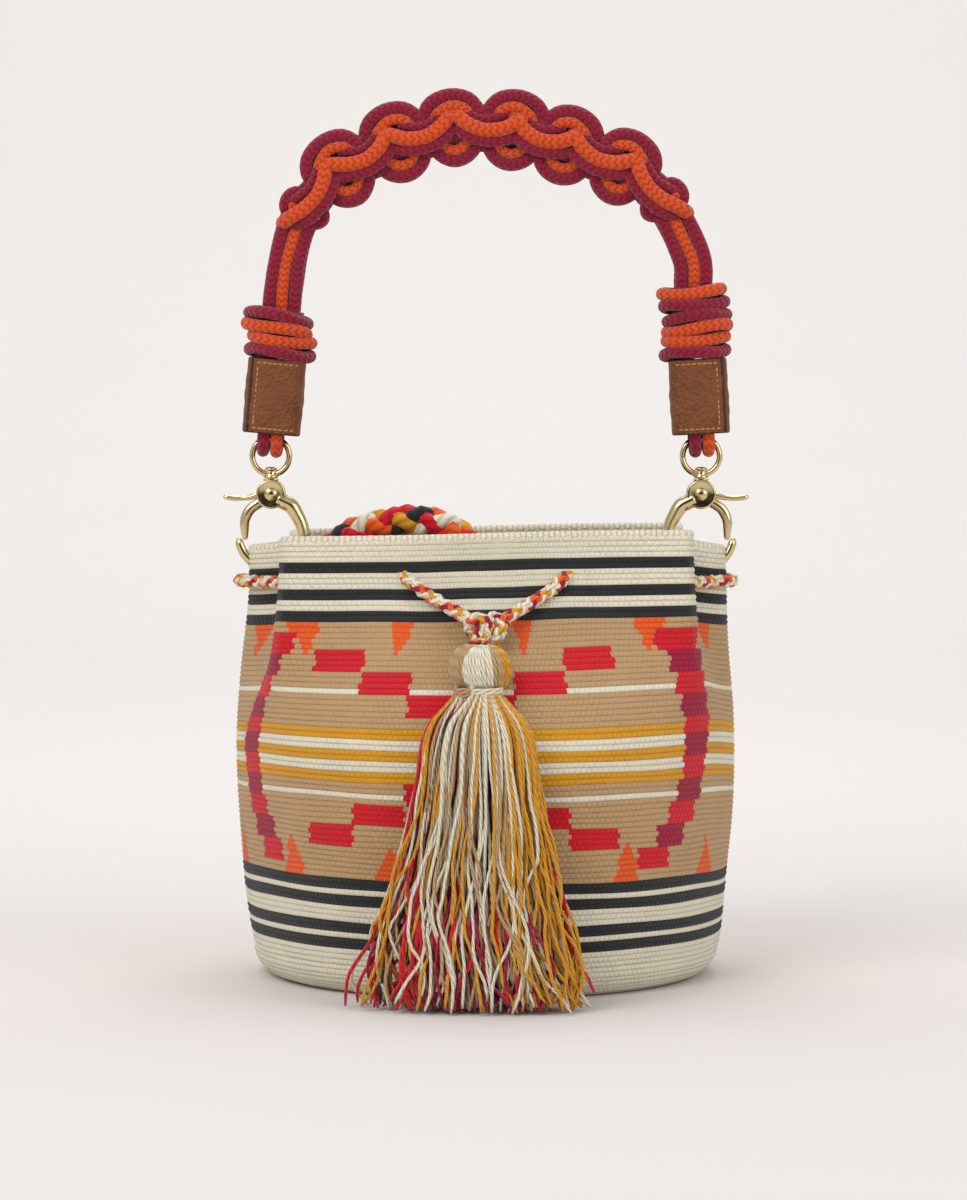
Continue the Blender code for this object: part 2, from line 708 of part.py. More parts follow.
def ring_top():
    return RING_CENTRE + RING_RADIUS


def handle_end_frame(centre, lean):
    """Local Z runs up the leaning sleeve from the top of the clasp's ring."""
    return Matrix.Translation((centre, 0, ring_top())) @ Matrix.Rotation(lean, 4, "Y")


def rope_loop(name, frame, offset, finish):
    leg_top = SLEEVE_LIFT + SLEEVE_LENGTH
    points = [(offset, -LOOP_BEND, leg_top * share) for share in (1, 0.67, 0.33, 0)]
    for step in range(1, 9):
        bend = math.pi + math.pi * step / 8
        points.append((offset, LOOP_BEND * math.cos(bend), LOOP_BEND * math.sin(bend)))
    points += [(offset, LOOP_BEND, leg_top * share) for share in (0.33, 0.67, 1)]
    rope = tube(name, [Vector(point) for point in points], ROPE_RADIUS)
    rope.matrix_world = frame
    finish_piece(rope, name, finish)


def sleeve(name, frame):
    work = bmesh.new()
    bmesh.ops.create_cube(work, size=1.0)
    bmesh.ops.scale(work, vec=(SLEEVE_WIDTH, SLEEVE_DEPTH, SLEEVE_LENGTH), verts=work.verts)
    ends = [face for face in work.faces if abs(face.normal.z) > 0.5]
    bmesh.ops.delete(work, geom=ends, context="FACES_ONLY")
    cover = mesh_object(name, work)
    bevel(cover, SLEEVE_CORNER, 4)
    skin = cover.modifiers.new("skin", "SOLIDIFY")
    skin.thickness = SLEEVE_WALL
    skin.offset = -1
    cover.matrix_world = frame @ Matrix.Translation((0, 0, SLEEVE_LIFT + SLEEVE_LENGTH / 2))
    finish_piece(cover, name, LEATHER)


def end_knot(name, frame, turns):
    bottom = SLEEVE_LIFT + SLEEVE_LENGTH + GAP
    lobe = END_KNOT_TURN / 2
    profile = [(0, bottom + 2 * lobe * turns)]
    for turn in range(turns):
        middle = bottom + 2 * lobe * turns - lobe * (2 * turn + 1)
        for step in range(5):
            bend = math.pi / 2 - math.pi * step / 4
            profile.append((END_KNOT_RADIUS - lobe + lobe * math.cos(bend), middle + lobe * math.sin(bend)))
        profile.pop()
    profile.append((END_KNOT_RADIUS - lobe, bottom))
    profile.append((0, bottom))
    knot = turned(name, profile, 16)
    knot.matrix_world = frame @ Matrix.Diagonal((1, END_KNOT_FLATNESS, 1, 1))
    finish_piece(knot, name, CRIMSON)
    top = bottom + 2 * lobe * turns + SOFT_GAP
    return [frame @ Vector((0, 0, top)), frame @ Vector((0, 0, top + END_KNOT_TURN))]


def grip_section():
    """Outline of three doubled cords side by side."""
    half = GRIP_CORD_WIDTH / 2
    top = []
    for lobe in (-1, 0, 1):
        for degrees in (150, 90, 30):
            bend = math.radians(degrees)
            x = lobe * GRIP_CORD_WIDTH + half * math.cos(bend)
            top.append((x, GRIP_HALF_DEPTH * math.sin(bend)))
    right = [(1.5 * GRIP_CORD_WIDTH, 0)]
    bottom = [(x, -y) for x, y in reversed(top)]
    return top + right + bottom + [(-1.5 * GRIP_CORD_WIDTH, 0)]


def flat_outline(name, points):
    curve = bpy.data.curves.new(name, "CURVE")
    curve.dimensions = "2D"
    spline = curve.splines.new("POLY")
    spline.points.add(len(points) - 1)
    for knot, (x, y) in zip(spline.points, points):
        knot.co = (x, y, 0, 1.0)
    spline.use_cyclic_u = True
    thing = bpy.data.objects.new(name, curve)
    bpy.context.scene.collection.objects.link(thing)
    return as_cutter(thing, name)


def grip_route(left_start, right_start):
    """The grip's middle line, as (X, rise above the rings), from the left end knot to the right one."""
    middle = [(-0.0785, 0.0740), (-0.0735, 0.0885), (-0.0660, 0.0990), (-0.0564, 0.1070),
              (-0.0450, 0.1128), (-0.0344, 0.1172), (-0.0240, 0.1205), (-0.0144, 0.1226),
              (-0.0020, 0.1232), (0.0096, 0.1220), (0.0205, 0.1195), (0.0316, 0.1160),
              (0.0430, 0.1122), (0.0536, 0.1075), (0.0630, 0.1020), (0.0710, 0.0940), (0.0765, 0.0840)]
    upper = [(x, 0, ring_top() + rise) for x, rise in middle]
    return smooth_route(left_start + upper + right_start[::-1], 0.009)


def along(route, distance):
    """The point and direction at a distance along a route."""
    for start, end in zip(route, route[1:]):
        length = (end - start).length
        if distance <= length:
            return start.lerp(end, distance / length), (end - start).normalized()
        distance -= length
    return route[-1], (route[-1] - route[-2]).normalized()


def wrap_profile():
    """A turn of doubled cord round the grip's core, with the round edge of the cord."""
    profile = [(0, WRAP_CORD)]
    for step in range(5):
        bend = math.pi / 2 - math.pi * step / 4
        profile.append((WRAP_RADIUS + WRAP_CORD * math.cos(bend), WRAP_CORD * math.sin(bend)))
    return profile + [(0, -WRAP_CORD)]


def knotted_grip(left_start, right_start):
    route = grip_route(left_start, right_start)
    curve = bpy.data.curves.new("knotted_grip", "CURVE")
    curve.dimensions = "2D"
    curve.bevel_mode = "OBJECT"
    curve.bevel_object = flat_outline("grip_section", grip_section())
    curve.use_fill_caps = True
    spline = curve.splines.new("POLY")
    spline.points.add(len(route) - 1)
    for knot, point in zip(spline.points, route):
        knot.co = (point.x, point.z, 0, 1.0)
    core = bpy.data.objects.new("grip_core", curve)
    core.matrix_world = Matrix.Rotation(math.pi / 2, 4, "X")
    bpy.context.scene.collection.objects.link(core)
    grip = curve_as_mesh(core)
    for index in range(WRAP_COUNT):
        middle, heading = along(route, FIRST_WRAP + index * WRAP_PITCH)
        wrap = turned(f"grip_wrap_{index + 1}", wrap_profile(), 14)
        heading_angle = math.atan2(heading.x, heading.z)
        wrap.rotation_euler = (0, heading_angle + WRAP_TILT, 0)
        wrap.scale = (1, WRAP_FLATNESS, 1)
        wrap.location = middle
        combine(grip, wrap, "UNION")
    finish_piece(grip, "knotted_grip", CRIMSON)


def handle():
    tops = []
    for word, centre, lean, turns in (("left", -CLASP_REACH, LEFT_LEAN, LEFT_KNOT_TURNS),
                                      ("right", CLASP_REACH, RIGHT_LEAN, RIGHT_KNOT_TURNS)):
        frame = handle_end_frame(centre, lean)
        beside = ROPE_RADIUS + GAP / 2
        rope_loop(word + "_crimson_loop", frame, -beside, CRIMSON)
        rope_loop(word + "_orange_loop", frame, beside, ORANGE)
        sleeve(word + "_sleeve", frame)
        tops.append(end_knot(word + "_end_knot", frame, turns))
    knotted_grip(*tops)


bag_shell()
drawstring()
tassel("left_tassel", -1)
tassel("right_tassel", 1)
tassel_tie("left_tassel_tie", -1)
tassel_tie("right_tassel_tie", 1)
tassel_hanger()
strap()
clasp("left", -CLASP_REACH, -1)
clasp("right", CLASP_REACH, 1)
handle()
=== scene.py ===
import math

import bpy
import numpy as np
from mathutils import Matrix, Vector


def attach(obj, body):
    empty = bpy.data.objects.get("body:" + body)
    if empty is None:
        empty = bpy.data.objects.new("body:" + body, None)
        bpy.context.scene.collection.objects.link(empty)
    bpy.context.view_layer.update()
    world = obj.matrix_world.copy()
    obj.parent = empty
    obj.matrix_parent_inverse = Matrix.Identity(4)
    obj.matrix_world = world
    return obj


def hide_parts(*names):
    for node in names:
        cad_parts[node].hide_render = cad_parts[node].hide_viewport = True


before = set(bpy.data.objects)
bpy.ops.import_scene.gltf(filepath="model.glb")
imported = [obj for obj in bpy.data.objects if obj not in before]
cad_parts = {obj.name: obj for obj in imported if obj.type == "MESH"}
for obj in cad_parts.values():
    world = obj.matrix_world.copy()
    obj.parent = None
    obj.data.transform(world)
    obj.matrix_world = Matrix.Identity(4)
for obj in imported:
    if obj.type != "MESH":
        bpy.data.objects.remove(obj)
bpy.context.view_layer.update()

# Crochet bucket bag with a drawstring, two tassels, a tucked strap and a knotted rope handle.
# Metres in the part's own frame: front towards -Y, right towards +X, up +Z.

chance = np.random.default_rng(11)
mm = 0.001


# Colours and materials

palette = {
    "cream": "DED6BF",
    "tan": "B9966B",
    "charcoal": "29292B",
    "mustard": "D2941C",
    "red": "CF1526",
    "crimson": "9C1436",
    "orange": "E25A1E",
}


def linear(hexColour):
    values = [int(hexColour[at:at + 2], 16) / 255 for at in (0, 2, 4)]
    return [value / 12.92 if value <= 0.04045 else ((value + 0.055) / 1.055) ** 2.4 for value in values]


def addNode(tree, kind, values=None, **settings):
    node = tree.nodes.new("ShaderNode" + kind)
    for name, value in settings.items():
        setattr(node, name, value)
    for socket, value in (values or {}).items():
        if hasattr(value, "is_output"):
            tree.links.new(value, node.inputs[socket])
        else:
            node.inputs[socket].default_value = value
    return node.outputs[0]


def math2(tree, operation, first, second=0.0):
    return addNode(tree, "Math", {0: first, 1: second}, operation=operation)


def newMaterial(name, roughness, **sockets):
    made = bpy.data.materials.new(name)
    made.use_nodes = True
    shader = made.node_tree.nodes["Principled BSDF"]
    shader.inputs["Roughness"].default_value = roughness
    for socket, value in sockets.items():
        shader.inputs[socket.replace("_", " ")].default_value = value
    return made, made.node_tree, shader


def shadeBetween(tree, shader, factor, dark, light):
    ramp = tree.nodes.new("ShaderNodeValToRGB")
    ramp.color_ramp.elements[0].color = (*dark, 1)
    ramp.color_ramp.elements[1].color = (*light, 1)
    tree.links.new(factor, ramp.inputs[0])
    tree.links.new(ramp.outputs[0], shader.inputs["Base Color"])


def bumpOf(tree, shader, height, distance):
    bump = addNode(tree, "Bump", {"Height": height, "Distance": distance, "Strength": 1.0})
    tree.links.new(bump, shader.inputs["Normal"])


def scaled(colour, share):
    return [min(value * share, 1.0) for value in colour]


# The groove and crest shares scale the stitch colour: painted shade in the grooves between rows and stitches, painted
# light on the crests.
crochetLook = {"bump": 0.6 * mm, "fuzzScale": 1500.0, "blotchScale": 55.0, "paintedGrooveShade": 0.50, "crest": 1.15}


def crochetMaterial(name, hexColour):
    """One round of single crochet: UV counts stitches across and rounds upwards."""
    made, tree, shader = newMaterial(name, 0.92, Sheen_Weight=0.18, Sheen_Roughness=0.5, Specular_IOR_Level=0.2)
    place = addNode(tree, "SeparateXYZ", {0: addNode(tree, "UVMap")})
    across = place.node.outputs[0]
    upward = place.node.outputs[1]
    row = math2(tree, "FRACT", upward)
    oddRow = math2(tree, "MODULO", math2(tree, "FLOOR", upward), 2.0)
    stitch = math2(tree, "FRACT", math2(tree, "ADD", across, math2(tree, "MULTIPLY", oddRow, 0.5)))
    fromMiddle = math2(tree, "MULTIPLY", math2(tree, "ABSOLUTE", math2(tree, "SUBTRACT", stitch, 0.5)), 2.0)
    leg = math2(tree, "SUBTRACT", fromMiddle, math2(tree, "MULTIPLY", row, 0.55))
    legHeight = math2(tree, "ABSOLUTE", math2(tree, "SINE", math2(tree, "MULTIPLY", leg, math.pi)))
    ridge = math2(tree, "POWER", math2(tree, "SINE", math2(tree, "MULTIPLY", row, math.pi)), 0.6)
    plied = math2(tree, "MULTIPLY", ridge, math2(tree, "ADD", math2(tree, "MULTIPLY", legHeight, 0.45), 0.40))
    spot = addNode(tree, "TexCoord").node.outputs["Object"]
    fuzz = addNode(tree, "TexNoise", {"Vector": spot, "Scale": crochetLook["fuzzScale"], "Detail": 3.0})
    blotch = addNode(tree, "TexNoise", {"Vector": spot, "Scale": crochetLook["blotchScale"], "Detail": 2.0})
    height = math2(tree, "ADD", plied, math2(tree, "MULTIPLY", fuzz, 0.7))
    # Painted shade and light: the colour runs from the groove share in the hollows of the stitch relief to the crest
    # share on its tops, with random blotches over it.
    paintedShadeAndBlotch = math2(tree, "ADD", height, math2(tree, "MULTIPLY", math2(tree, "SUBTRACT", blotch, 0.5), 0.5))
    colour = linear(hexColour)
    shadeBetween(tree, shader, paintedShadeAndBlotch, scaled(colour, crochetLook["paintedGrooveShade"]), scaled(colour, crochetLook["crest"]))
    bumpOf(tree, shader, height, crochetLook["bump"])
    return made


def yarnMaterial(name, hexColour, plies=3, pitch=4.0, depth=0.35 * mm, paintedGrooveShade=0.5, braided=False):
    """Twisted or braided yarn: UV is once round the strand by millimetres along it."""
    made, tree, shader = newMaterial(name, 0.85, Sheen_Weight=0.25, Sheen_Roughness=0.45, Specular_IOR_Level=0.25)
    place = addNode(tree, "SeparateXYZ", {0: addNode(tree, "UVMap")})
    around = math2(tree, "MULTIPLY", place, float(plies))
    if braided:
        around = math2(tree, "PINGPONG", around, 0.5)
    twist = math2(tree, "ADD", around, math2(tree, "DIVIDE", place.node.outputs[1], pitch))
    ply = math2(tree, "ABSOLUTE", math2(tree, "SINE", math2(tree, "MULTIPLY", twist, math.pi)))
    spot = addNode(tree, "TexCoord").node.outputs["Object"]
    fuzz = addNode(tree, "TexNoise", {"Vector": spot, "Scale": 2200.0, "Detail": 3.0})
    blotch = addNode(tree, "TexNoise", {"Vector": spot, "Scale": 140.0, "Detail": 2.0})
    height = math2(tree, "ADD", ply, math2(tree, "MULTIPLY", fuzz, 0.5))
    # Painted shade and light: darker in the valleys between plies, lighter on their ridges, with random blotches over
    # it.
    paintedShadeAndBlotch = math2(tree, "ADD", math2(tree, "MULTIPLY", height, 0.75), math2(tree, "MULTIPLY", blotch, 0.3))
    colour = linear(hexColour)
    shadeBetween(tree, shader, paintedShadeAndBlotch, scaled(colour, paintedGrooveShade), scaled(colour, 1.15))
    bumpOf(tree, shader, height, depth)
    return made


def leatherMaterial(name, hexColour, lighter):
    made, tree, shader = newMaterial(name, 0.58, Specular_IOR_Level=0.3, Coat_Weight=0.05, Coat_Roughness=0.4)
    spot = addNode(tree, "TexCoord").node.outputs["Object"]
    grain = addNode(tree, "TexVoronoi", {"Vector": spot, "Scale": 700.0})
    crease = addNode(tree, "TexNoise", {"Vector": spot, "Scale": 260.0, "Detail": 4.0})
    wear = addNode(tree, "TexNoise", {"Vector": spot, "Scale": 90.0, "Detail": 3.0})
    height = math2(tree, "ADD", math2(tree, "MULTIPLY", grain, 1.1), crease)
    colour = linear(hexColour)
    # Colour follows random wear tone, and a little of the grain and crease height: painted shade in their hollows.
    shadeBetween(tree, shader, math2(tree, "ADD", math2(tree, "MULTIPLY", wear, 0.8), math2(tree, "MULTIPLY", height, 0.2)),
                 scaled(colour, 0.55), scaled(colour, lighter))
    bumpOf(tree, shader, height, 0.7 * mm)
    return made


def metalMaterial(name, hexColour):
    made, tree, shader = newMaterial(name, 0.14, Metallic=1.0, Coat_Weight=0.3, Coat_Roughness=0.05)
    spot = addNode(tree, "TexCoord").node.outputs["Object"]
    wear = addNode(tree, "TexNoise", {"Vector": spot, "Scale": 300.0, "Detail": 4.0})
    rough = addNode(tree, "MapRange", {"Value": wear, "To Min": 0.08, "To Max": 0.24})
    tree.links.new(rough, shader.inputs["Roughness"])
    colour = linear(hexColour)
    shadeBetween(tree, shader, wear, scaled(colour, 0.85), scaled(colour, 1.1))
    bumpOf(tree, shader, wear, 0.02 * mm)
    return made


crochet = {word: crochetMaterial("cotton_single_crochet_" + word, value) for word, value in palette.items()}
yarn = {word: yarnMaterial("cotton_yarn_plied_" + word, value) for word, value in palette.items()}
# The ropes' groove shares (0.38, 0.42) paint deeper shade in the valleys between their strands.
rope = {
    "crimson": yarnMaterial("cotton_rope_braided_crimson", "8C1430", 6, 2.6, 0.5 * mm, 0.38, True),
    "orange": yarnMaterial("cotton_rope_braided_orange", "D24A18", 6, 2.6, 0.5 * mm, 0.42, True),
}
leather = leatherMaterial("calf_leather_pebbled_brown", "784422", 1.3)
leatherEdge = leatherMaterial("leather_edge_burnished", "4A2A1B", 1.1)
sewingThread = yarnMaterial("waxed_thread_tan", "C08A55", 2, 1.2, 0.1 * mm)
gold = metalMaterial("zinc_casting_pale_gold_plated", "D9C493")


# Geometry helpers

def smoothRoute(points, spacing):
    """Points at an even spacing along a smooth curve through the given points."""
    points = [np.array(point, float) for point in points]
    padded = [2 * points[0] - points[1]] + points + [2 * points[-1] - points[-2]]
    fine = []
    for before, start, end, after in zip(padded, padded[1:], padded[2:], padded[3:]):
        for step in range(12):
            t = step / 12
            fine.append(0.5 * (2 * start + (end - before) * t
                               + (2 * before - 5 * start + 4 * end - after) * t * t
                               + (3 * start - before - 3 * end + after) * t * t * t))
    fine.append(points[-1])
    return evenly(np.array(fine), spacing)


def lengthsAlong(points):
    return np.concatenate([[0.0], np.cumsum(np.linalg.norm(np.diff(points, axis=0), axis=1))])


def evenly(fine, spacing):
    lengths = lengthsAlong(fine)
    count = max(2, round(lengths[-1] / spacing))
    wanted = np.linspace(0, lengths[-1], count + 1)
    return np.stack([np.interp(wanted, lengths, fine[:, axis]) for axis in range(3)], axis=1)


def unit(vectors):
    return vectors / np.maximum(np.linalg.norm(vectors, axis=-1, keepdims=True), 1e-12)


def framesAlong(points, closed=False):
    """Tangents and two steady side directions along a route."""
    points = np.asarray(points, float)
    if closed:
        tangent = unit(np.roll(points, -1, axis=0) - np.roll(points, 1, axis=0))
    else:
        tangent = unit(np.gradient(points, axis=0))
    side = np.cross(tangent[0], [0.0, 1.0, 0.0])
    if np.linalg.norm(side) < 0.3:
        side = np.cross(tangent[0], [0.0, 0.0, 1.0])
    sides = np.empty_like(points)
    for at, heading in enumerate(tangent):
        side = unit(side - heading * (side @ heading))
        sides[at] = side
    return tangent, sides, np.cross(tangent, sides)


def tubePart(points, radius, slot=0, sides=8, flat=1.0, closed=False):
    """A round tube along a route, with UV once round by millimetres along."""
    points = np.asarray(points, float)
    count = len(points)
    tangent, side, over = framesAlong(points, closed)
    turn = np.arange(sides) * 2 * math.pi / sides
    reach = np.broadcast_to(radius, count)[:, None, None]
    ring = points[:, None] + reach * (np.cos(turn)[None, :, None] * side[:, None]
                                      + flat * np.sin(turn)[None, :, None] * over[:, None])
    spans = count if closed else count - 1
    along = lengthsAlong(np.vstack([points, points[:1]]) if closed else points) / mm
    first, second = np.meshgrid(np.arange(spans), np.arange(sides), indexing="ij")
    after = (second + 1) % sides
    beyond = (first + 1) % count
    quads = np.stack([first * sides + second, first * sides + after,
                      beyond * sides + after, beyond * sides + second], axis=-1).reshape(-1, 4)
    low, high = along[first], along[first + 1]
    uv = np.stack([np.stack([second / sides, low], -1), np.stack([(second + 1) / sides, low], -1),
                   np.stack([(second + 1) / sides, high], -1), np.stack([second / sides, high], -1)],
                  axis=2).reshape(-1, 4, 2)
    caps = [] if closed else [list(range(sides))[::-1], list(range((count - 1) * sides, count * sides))]
    return {"points": ring.reshape(-1, 3), "quads": quads, "uv": uv, "caps": caps, "slot": slot}


def lathePart(profile, slot=0, steps=40):
    """A turned form about local Z from (reach, height) pairs."""
    turn = np.arange(steps) * 2 * math.pi / steps
    profile = np.array(profile, float)
    points = np.stack([profile[:, 0:1] * np.cos(turn), profile[:, 0:1] * np.sin(turn),
                       np.repeat(profile[:, 1:2], steps, axis=1)], axis=-1)
    first, second = np.meshgrid(np.arange(len(profile) - 1), np.arange(steps), indexing="ij")
    after = (second + 1) % steps
    quads = np.stack([first * steps + second, first * steps + after,
                      (first + 1) * steps + after, (first + 1) * steps + second], axis=-1).reshape(-1, 4)
    return {"points": points.reshape(-1, 3), "quads": quads, "uv": np.zeros((len(quads), 4, 2)),
            "caps": [], "slot": slot}


def gridPart(points, uv, slots, closedAcross=True):
    """Rows by columns of points; slots gives each face's material."""
    rows, columns = points.shape[:2]
    spans = columns if closedAcross else columns - 1
    first, second = np.meshgrid(np.arange(rows - 1), np.arange(spans), indexing="ij")
    after = (second + 1) % columns
    quads = np.stack([first * columns + second, first * columns + after,
                      (first + 1) * columns + after, (first + 1) * columns + second], axis=-1).reshape(-1, 4)
    uvs = np.stack([uv[first, second], uv[first, second + 1], uv[first + 1, second + 1], uv[first + 1, second]],
                   axis=2).reshape(-1, 4, 2)
    return {"points": points.reshape(-1, 3), "quads": quads, "uv": uvs, "caps": [], "slot": slots.reshape(-1)}


def moved(part, matrix):
    turned = np.array(matrix.to_3x3()) if isinstance(matrix, Matrix) else matrix
    shifted = np.array(matrix.translation)
    return {**part, "points": part["points"] @ turned.T + shifted}


def buildPiece(name, parts, materials, body, nodes=()):
    points, faces, slots, uvs = [], [], [], []
    base = 0
    for part in parts:
        points.append(part["points"])
        faces += (part["quads"] + base).tolist()
        slots.append(np.broadcast_to(part["slot"], len(part["quads"])))
        uvs.append(part["uv"].reshape(-1, 2))
        for cap in part["caps"]:
            faces.append([corner + base for corner in cap])
            slots.append(np.array([np.ravel(part["slot"])[0]]))
            uvs.append(np.zeros((len(cap), 2)))
        base += len(part["points"])
    mesh = bpy.data.meshes.new(name)
    mesh.from_pydata(np.vstack(points).tolist(), [], faces)
    layer = mesh.uv_layers.new(name="UVMap")
    layer.data.foreach_set("uv", np.vstack(uvs).astype(np.float32).ravel())
    for finish in materials:
        mesh.materials.append(finish)
    mesh.polygons.foreach_set("material_index", np.concatenate(slots).astype(np.int32))
    mesh.shade_smooth()
    mesh.update()
    piece = bpy.data.objects.new(name, mesh)
    bpy.context.scene.collection.objects.link(piece)
    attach(piece, body)
    if nodes:
        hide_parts(*nodes)
    return piece


def pliedParts(route, settings, slots):
    """Several strands twisted round one route."""
    tangent, side, over = framesAlong(route)
    along = lengthsAlong(route)
    parts = []
    for index, slot in enumerate(slots):
        bend = (2 * math.pi * (along / settings["pitch"] + index / len(slots)))[:, None]
        line = route + settings["reach"] * (np.cos(bend) * side + np.sin(bend) * over)
        parts.append(tubePart(line, settings["radius"], slot, settings["sides"]))
    return parts


def braidParts(route, settings, slots):
    """A round braid: half of the strands turn each way, over one and under one."""
    tangent, side, over = framesAlong(route)
    along = lengthsAlong(route)
    half = len(slots) // 2
    parts = []
    for index, slot in enumerate(slots):
        way = 1 if index < half else -1
        bend = way * 2 * math.pi * along / settings["pitch"] + 2 * math.pi * (index % half) / half
        lift = way * settings["lift"] * np.cos(half * 2 * math.pi * along / settings["pitch"])
        reach = (settings["reach"] + lift)[:, None]
        line = route + reach * (np.cos(bend)[:, None] * side + np.sin(bend)[:, None] * over)
        parts.append(tubePart(line, settings["radius"], slot, settings["sides"]))
    return parts


# Camera, floor and light

cameraView = {"place": (-0.001, -1.7, 0.229), "aim": (-0.001, 0.0, 0.149), "lens": 127.5}


def aimed(thing, place, aim):
    thing.location = place
    thing.rotation_euler = (Vector(aim) - Vector(place)).to_track_quat("-Z", "Y").to_euler()
    bpy.context.scene.collection.objects.link(thing)


def makeCamera():
    lens = bpy.data.cameras.new("photo_camera")
    lens.lens = cameraView["lens"]
    camera = bpy.data.objects.new("photo_camera", lens)
    aimed(camera, cameraView["place"], cameraView["aim"])
    bpy.context.scene.camera = camera


# The floor and backdrop colours make a painted gradient: darker near the front, paler at the back, to even out the
# lamplight.
studio = {
    "floor": "E0DBD8", "backdrop": "F7F4F1", "halfWidth": 5.0, "front": -5.0, "back": 2.9, "height": 4.0, "bend": 0.6,
    "worldColour": "F4F4F5", "worldStrength": 0.66,
    "flagHalf": 0.75, "flagPlace": (0.0, -2.5, 0.35),
    "lights": [("key_light", (-0.9, -1.3, 1.35), (0, 0, 0.12), 1.1, 15.0),
               ("fill_light", (1.2, -1.1, 0.75), (0, 0, 0.12), 1.0, 6.0),
               ("top_light", (0.0, 0.5, 1.5), (0, 0, 0.12), 0.9, 6.0),
               ("backdrop_light", (0.0, 1.3, 2.3), (0, 2.9, 0.5), 1.6, 15.0)],
}


def makeFlag():
    """A black card behind the camera, seen only in the polished metal."""
    half = studio["flagHalf"]
    mesh = bpy.data.meshes.new("studio_flag")
    mesh.from_pydata([(-half, 0, -half), (half, 0, -half), (half, 0, half), (-half, 0, half)], [], [(0, 1, 2, 3)])
    mesh.materials.append(newMaterial("studio_card_black", 1.0, Base_Color=(0.004, 0.004, 0.004, 1))[0])
    flag = bpy.data.objects.new("studio_flag", mesh)
    flag.location = studio["flagPlace"]
    flag.visible_camera = False
    flag.visible_diffuse = False
    flag.visible_shadow = False
    bpy.context.scene.collection.objects.link(flag)


def makeStudio():
    profile = [(studio["front"], 0.0), (studio["back"] - studio["bend"], 0.0)]
    for step in range(1, 9):
        bend = math.pi / 2 * step / 8
        profile.append((studio["back"] - studio["bend"] + studio["bend"] * math.sin(bend),
                        studio["bend"] * (1 - math.cos(bend))))
    profile.append((studio["back"], studio["height"]))
    points = [(x, y, z) for y, z in profile for x in (-studio["halfWidth"], studio["halfWidth"])]
    faces = [(2 * at, 2 * at + 1, 2 * at + 3, 2 * at + 2) for at in range(len(profile) - 1)]
    mesh = bpy.data.meshes.new("studio_floor")
    mesh.from_pydata(points, [], faces)
    mesh.shade_smooth()
    finish, tree, shader = newMaterial("studio_paper_pale", 0.95, Specular_IOR_Level=0.1)
    spot = addNode(tree, "TexCoord").node.outputs["Object"]
    depth = addNode(tree, "SeparateXYZ", {0: spot}).node.outputs[1]
    # Painted shade: the paper's colour darkens towards the front, where the lamps light it more.
    away = addNode(tree, "MapRange", {"Value": depth, "From Min": 0.1, "From Max": 2.4})
    shadeBetween(tree, shader, away, linear(studio["floor"]), linear(studio["backdrop"]))
    mesh.materials.append(finish)
    floor = bpy.data.objects.new("studio_floor", mesh)
    bpy.context.scene.collection.objects.link(floor)
    makeFlag()
    world = bpy.data.worlds.new("studio_world")
    world.use_nodes = True
    sky = world.node_tree.nodes["Background"]
    sky.inputs["Color"].default_value = (*linear(studio["worldColour"]), 1)
    sky.inputs["Strength"].default_value = studio["worldStrength"]
    bpy.context.scene.world = world
    for name, place, aim, size, power in studio["lights"]:
        lamp = bpy.data.lights.new(name, "AREA")
        lamp.size = size
        lamp.energy = power
        aimed(bpy.data.objects.new(name, lamp), place, aim)
    bpy.context.scene.view_settings.view_transform = "Standard"


makeCamera()
makeStudio()
print("camera and studio")


# The shell's outer face as a function of the angle round Z and the height, as the part has it

shell = {
    "baseRadius": 0.093, "baseCorner": 0.012, "bellyRadius": 0.0996, "bellyHeight": 0.099, "wall": 0.0032,
    "pleatStart": 0.090, "frontHeight": 0.1755, "earHeight": 0.1695, "rimTilt": 0.0015,
    "earReach": 0.096, "valleyReach": 0.077, "panelDepth": 0.052,
    "valley": math.radians(17), "corner": math.radians(33), "soft": math.radians(3),
    "stitches": 264, "rowPitch": 2.1 * mm,
}


def smoothStep(value):
    value = np.clip(value, 0.0, 1.0)
    return value * value * (3 - 2 * value)


def ease(start, end, share):
    return start + (end - start) * (1 - np.cos(math.pi * share)) / 2


def turnFromSide(angle):
    return np.arcsin(np.minimum(np.abs(np.sin(angle)), 1.0))


def foldReach(angle):
    turn = turnFromSide(angle)
    cornerReach = shell["panelDepth"] / math.sin(shell["corner"])
    ear = ease(shell["earReach"], shell["valleyReach"], turn / shell["valley"])
    fold = ease(shell["valleyReach"], cornerReach, (turn - shell["valley"]) / (shell["corner"] - shell["valley"]))
    panel = shell["panelDepth"] / np.sin(np.maximum(turn, 0.1))
    return np.where(turn < shell["valley"], ear, np.where(turn < shell["corner"], fold, panel))


def rimReach(angle):
    sides = foldReach(angle - shell["soft"]) + foldReach(angle + shell["soft"])
    return (2 * foldReach(angle) + sides) / 4


def rimHeight(angle):
    front = smoothStep(turnFromSide(angle) / shell["corner"])
    rise = shell["frontHeight"] - shell["earHeight"] + shell["rimTilt"] * np.cos(angle)
    return shell["earHeight"] + rise * front


def roundReach(height):
    rise = (height - shell["baseCorner"]) / (shell["bellyHeight"] - shell["baseCorner"])
    return shell["baseRadius"] + (shell["bellyRadius"] - shell["baseRadius"]) * (1 - (1 - rise) ** 2)


def wallReach(angle, height):
    pleat = smoothStep((height - shell["pleatStart"]) / (shell["frontHeight"] - shell["pleatStart"]))
    return roundReach(height) + (rimReach(angle) - roundReach(height)) * pleat


def wallPoint(angle, height, standOff=0.0):
    reach = wallReach(angle, height) + standOff
    return np.stack(np.broadcast_arrays(reach * np.cos(angle), reach * np.sin(angle), height), axis=-1)


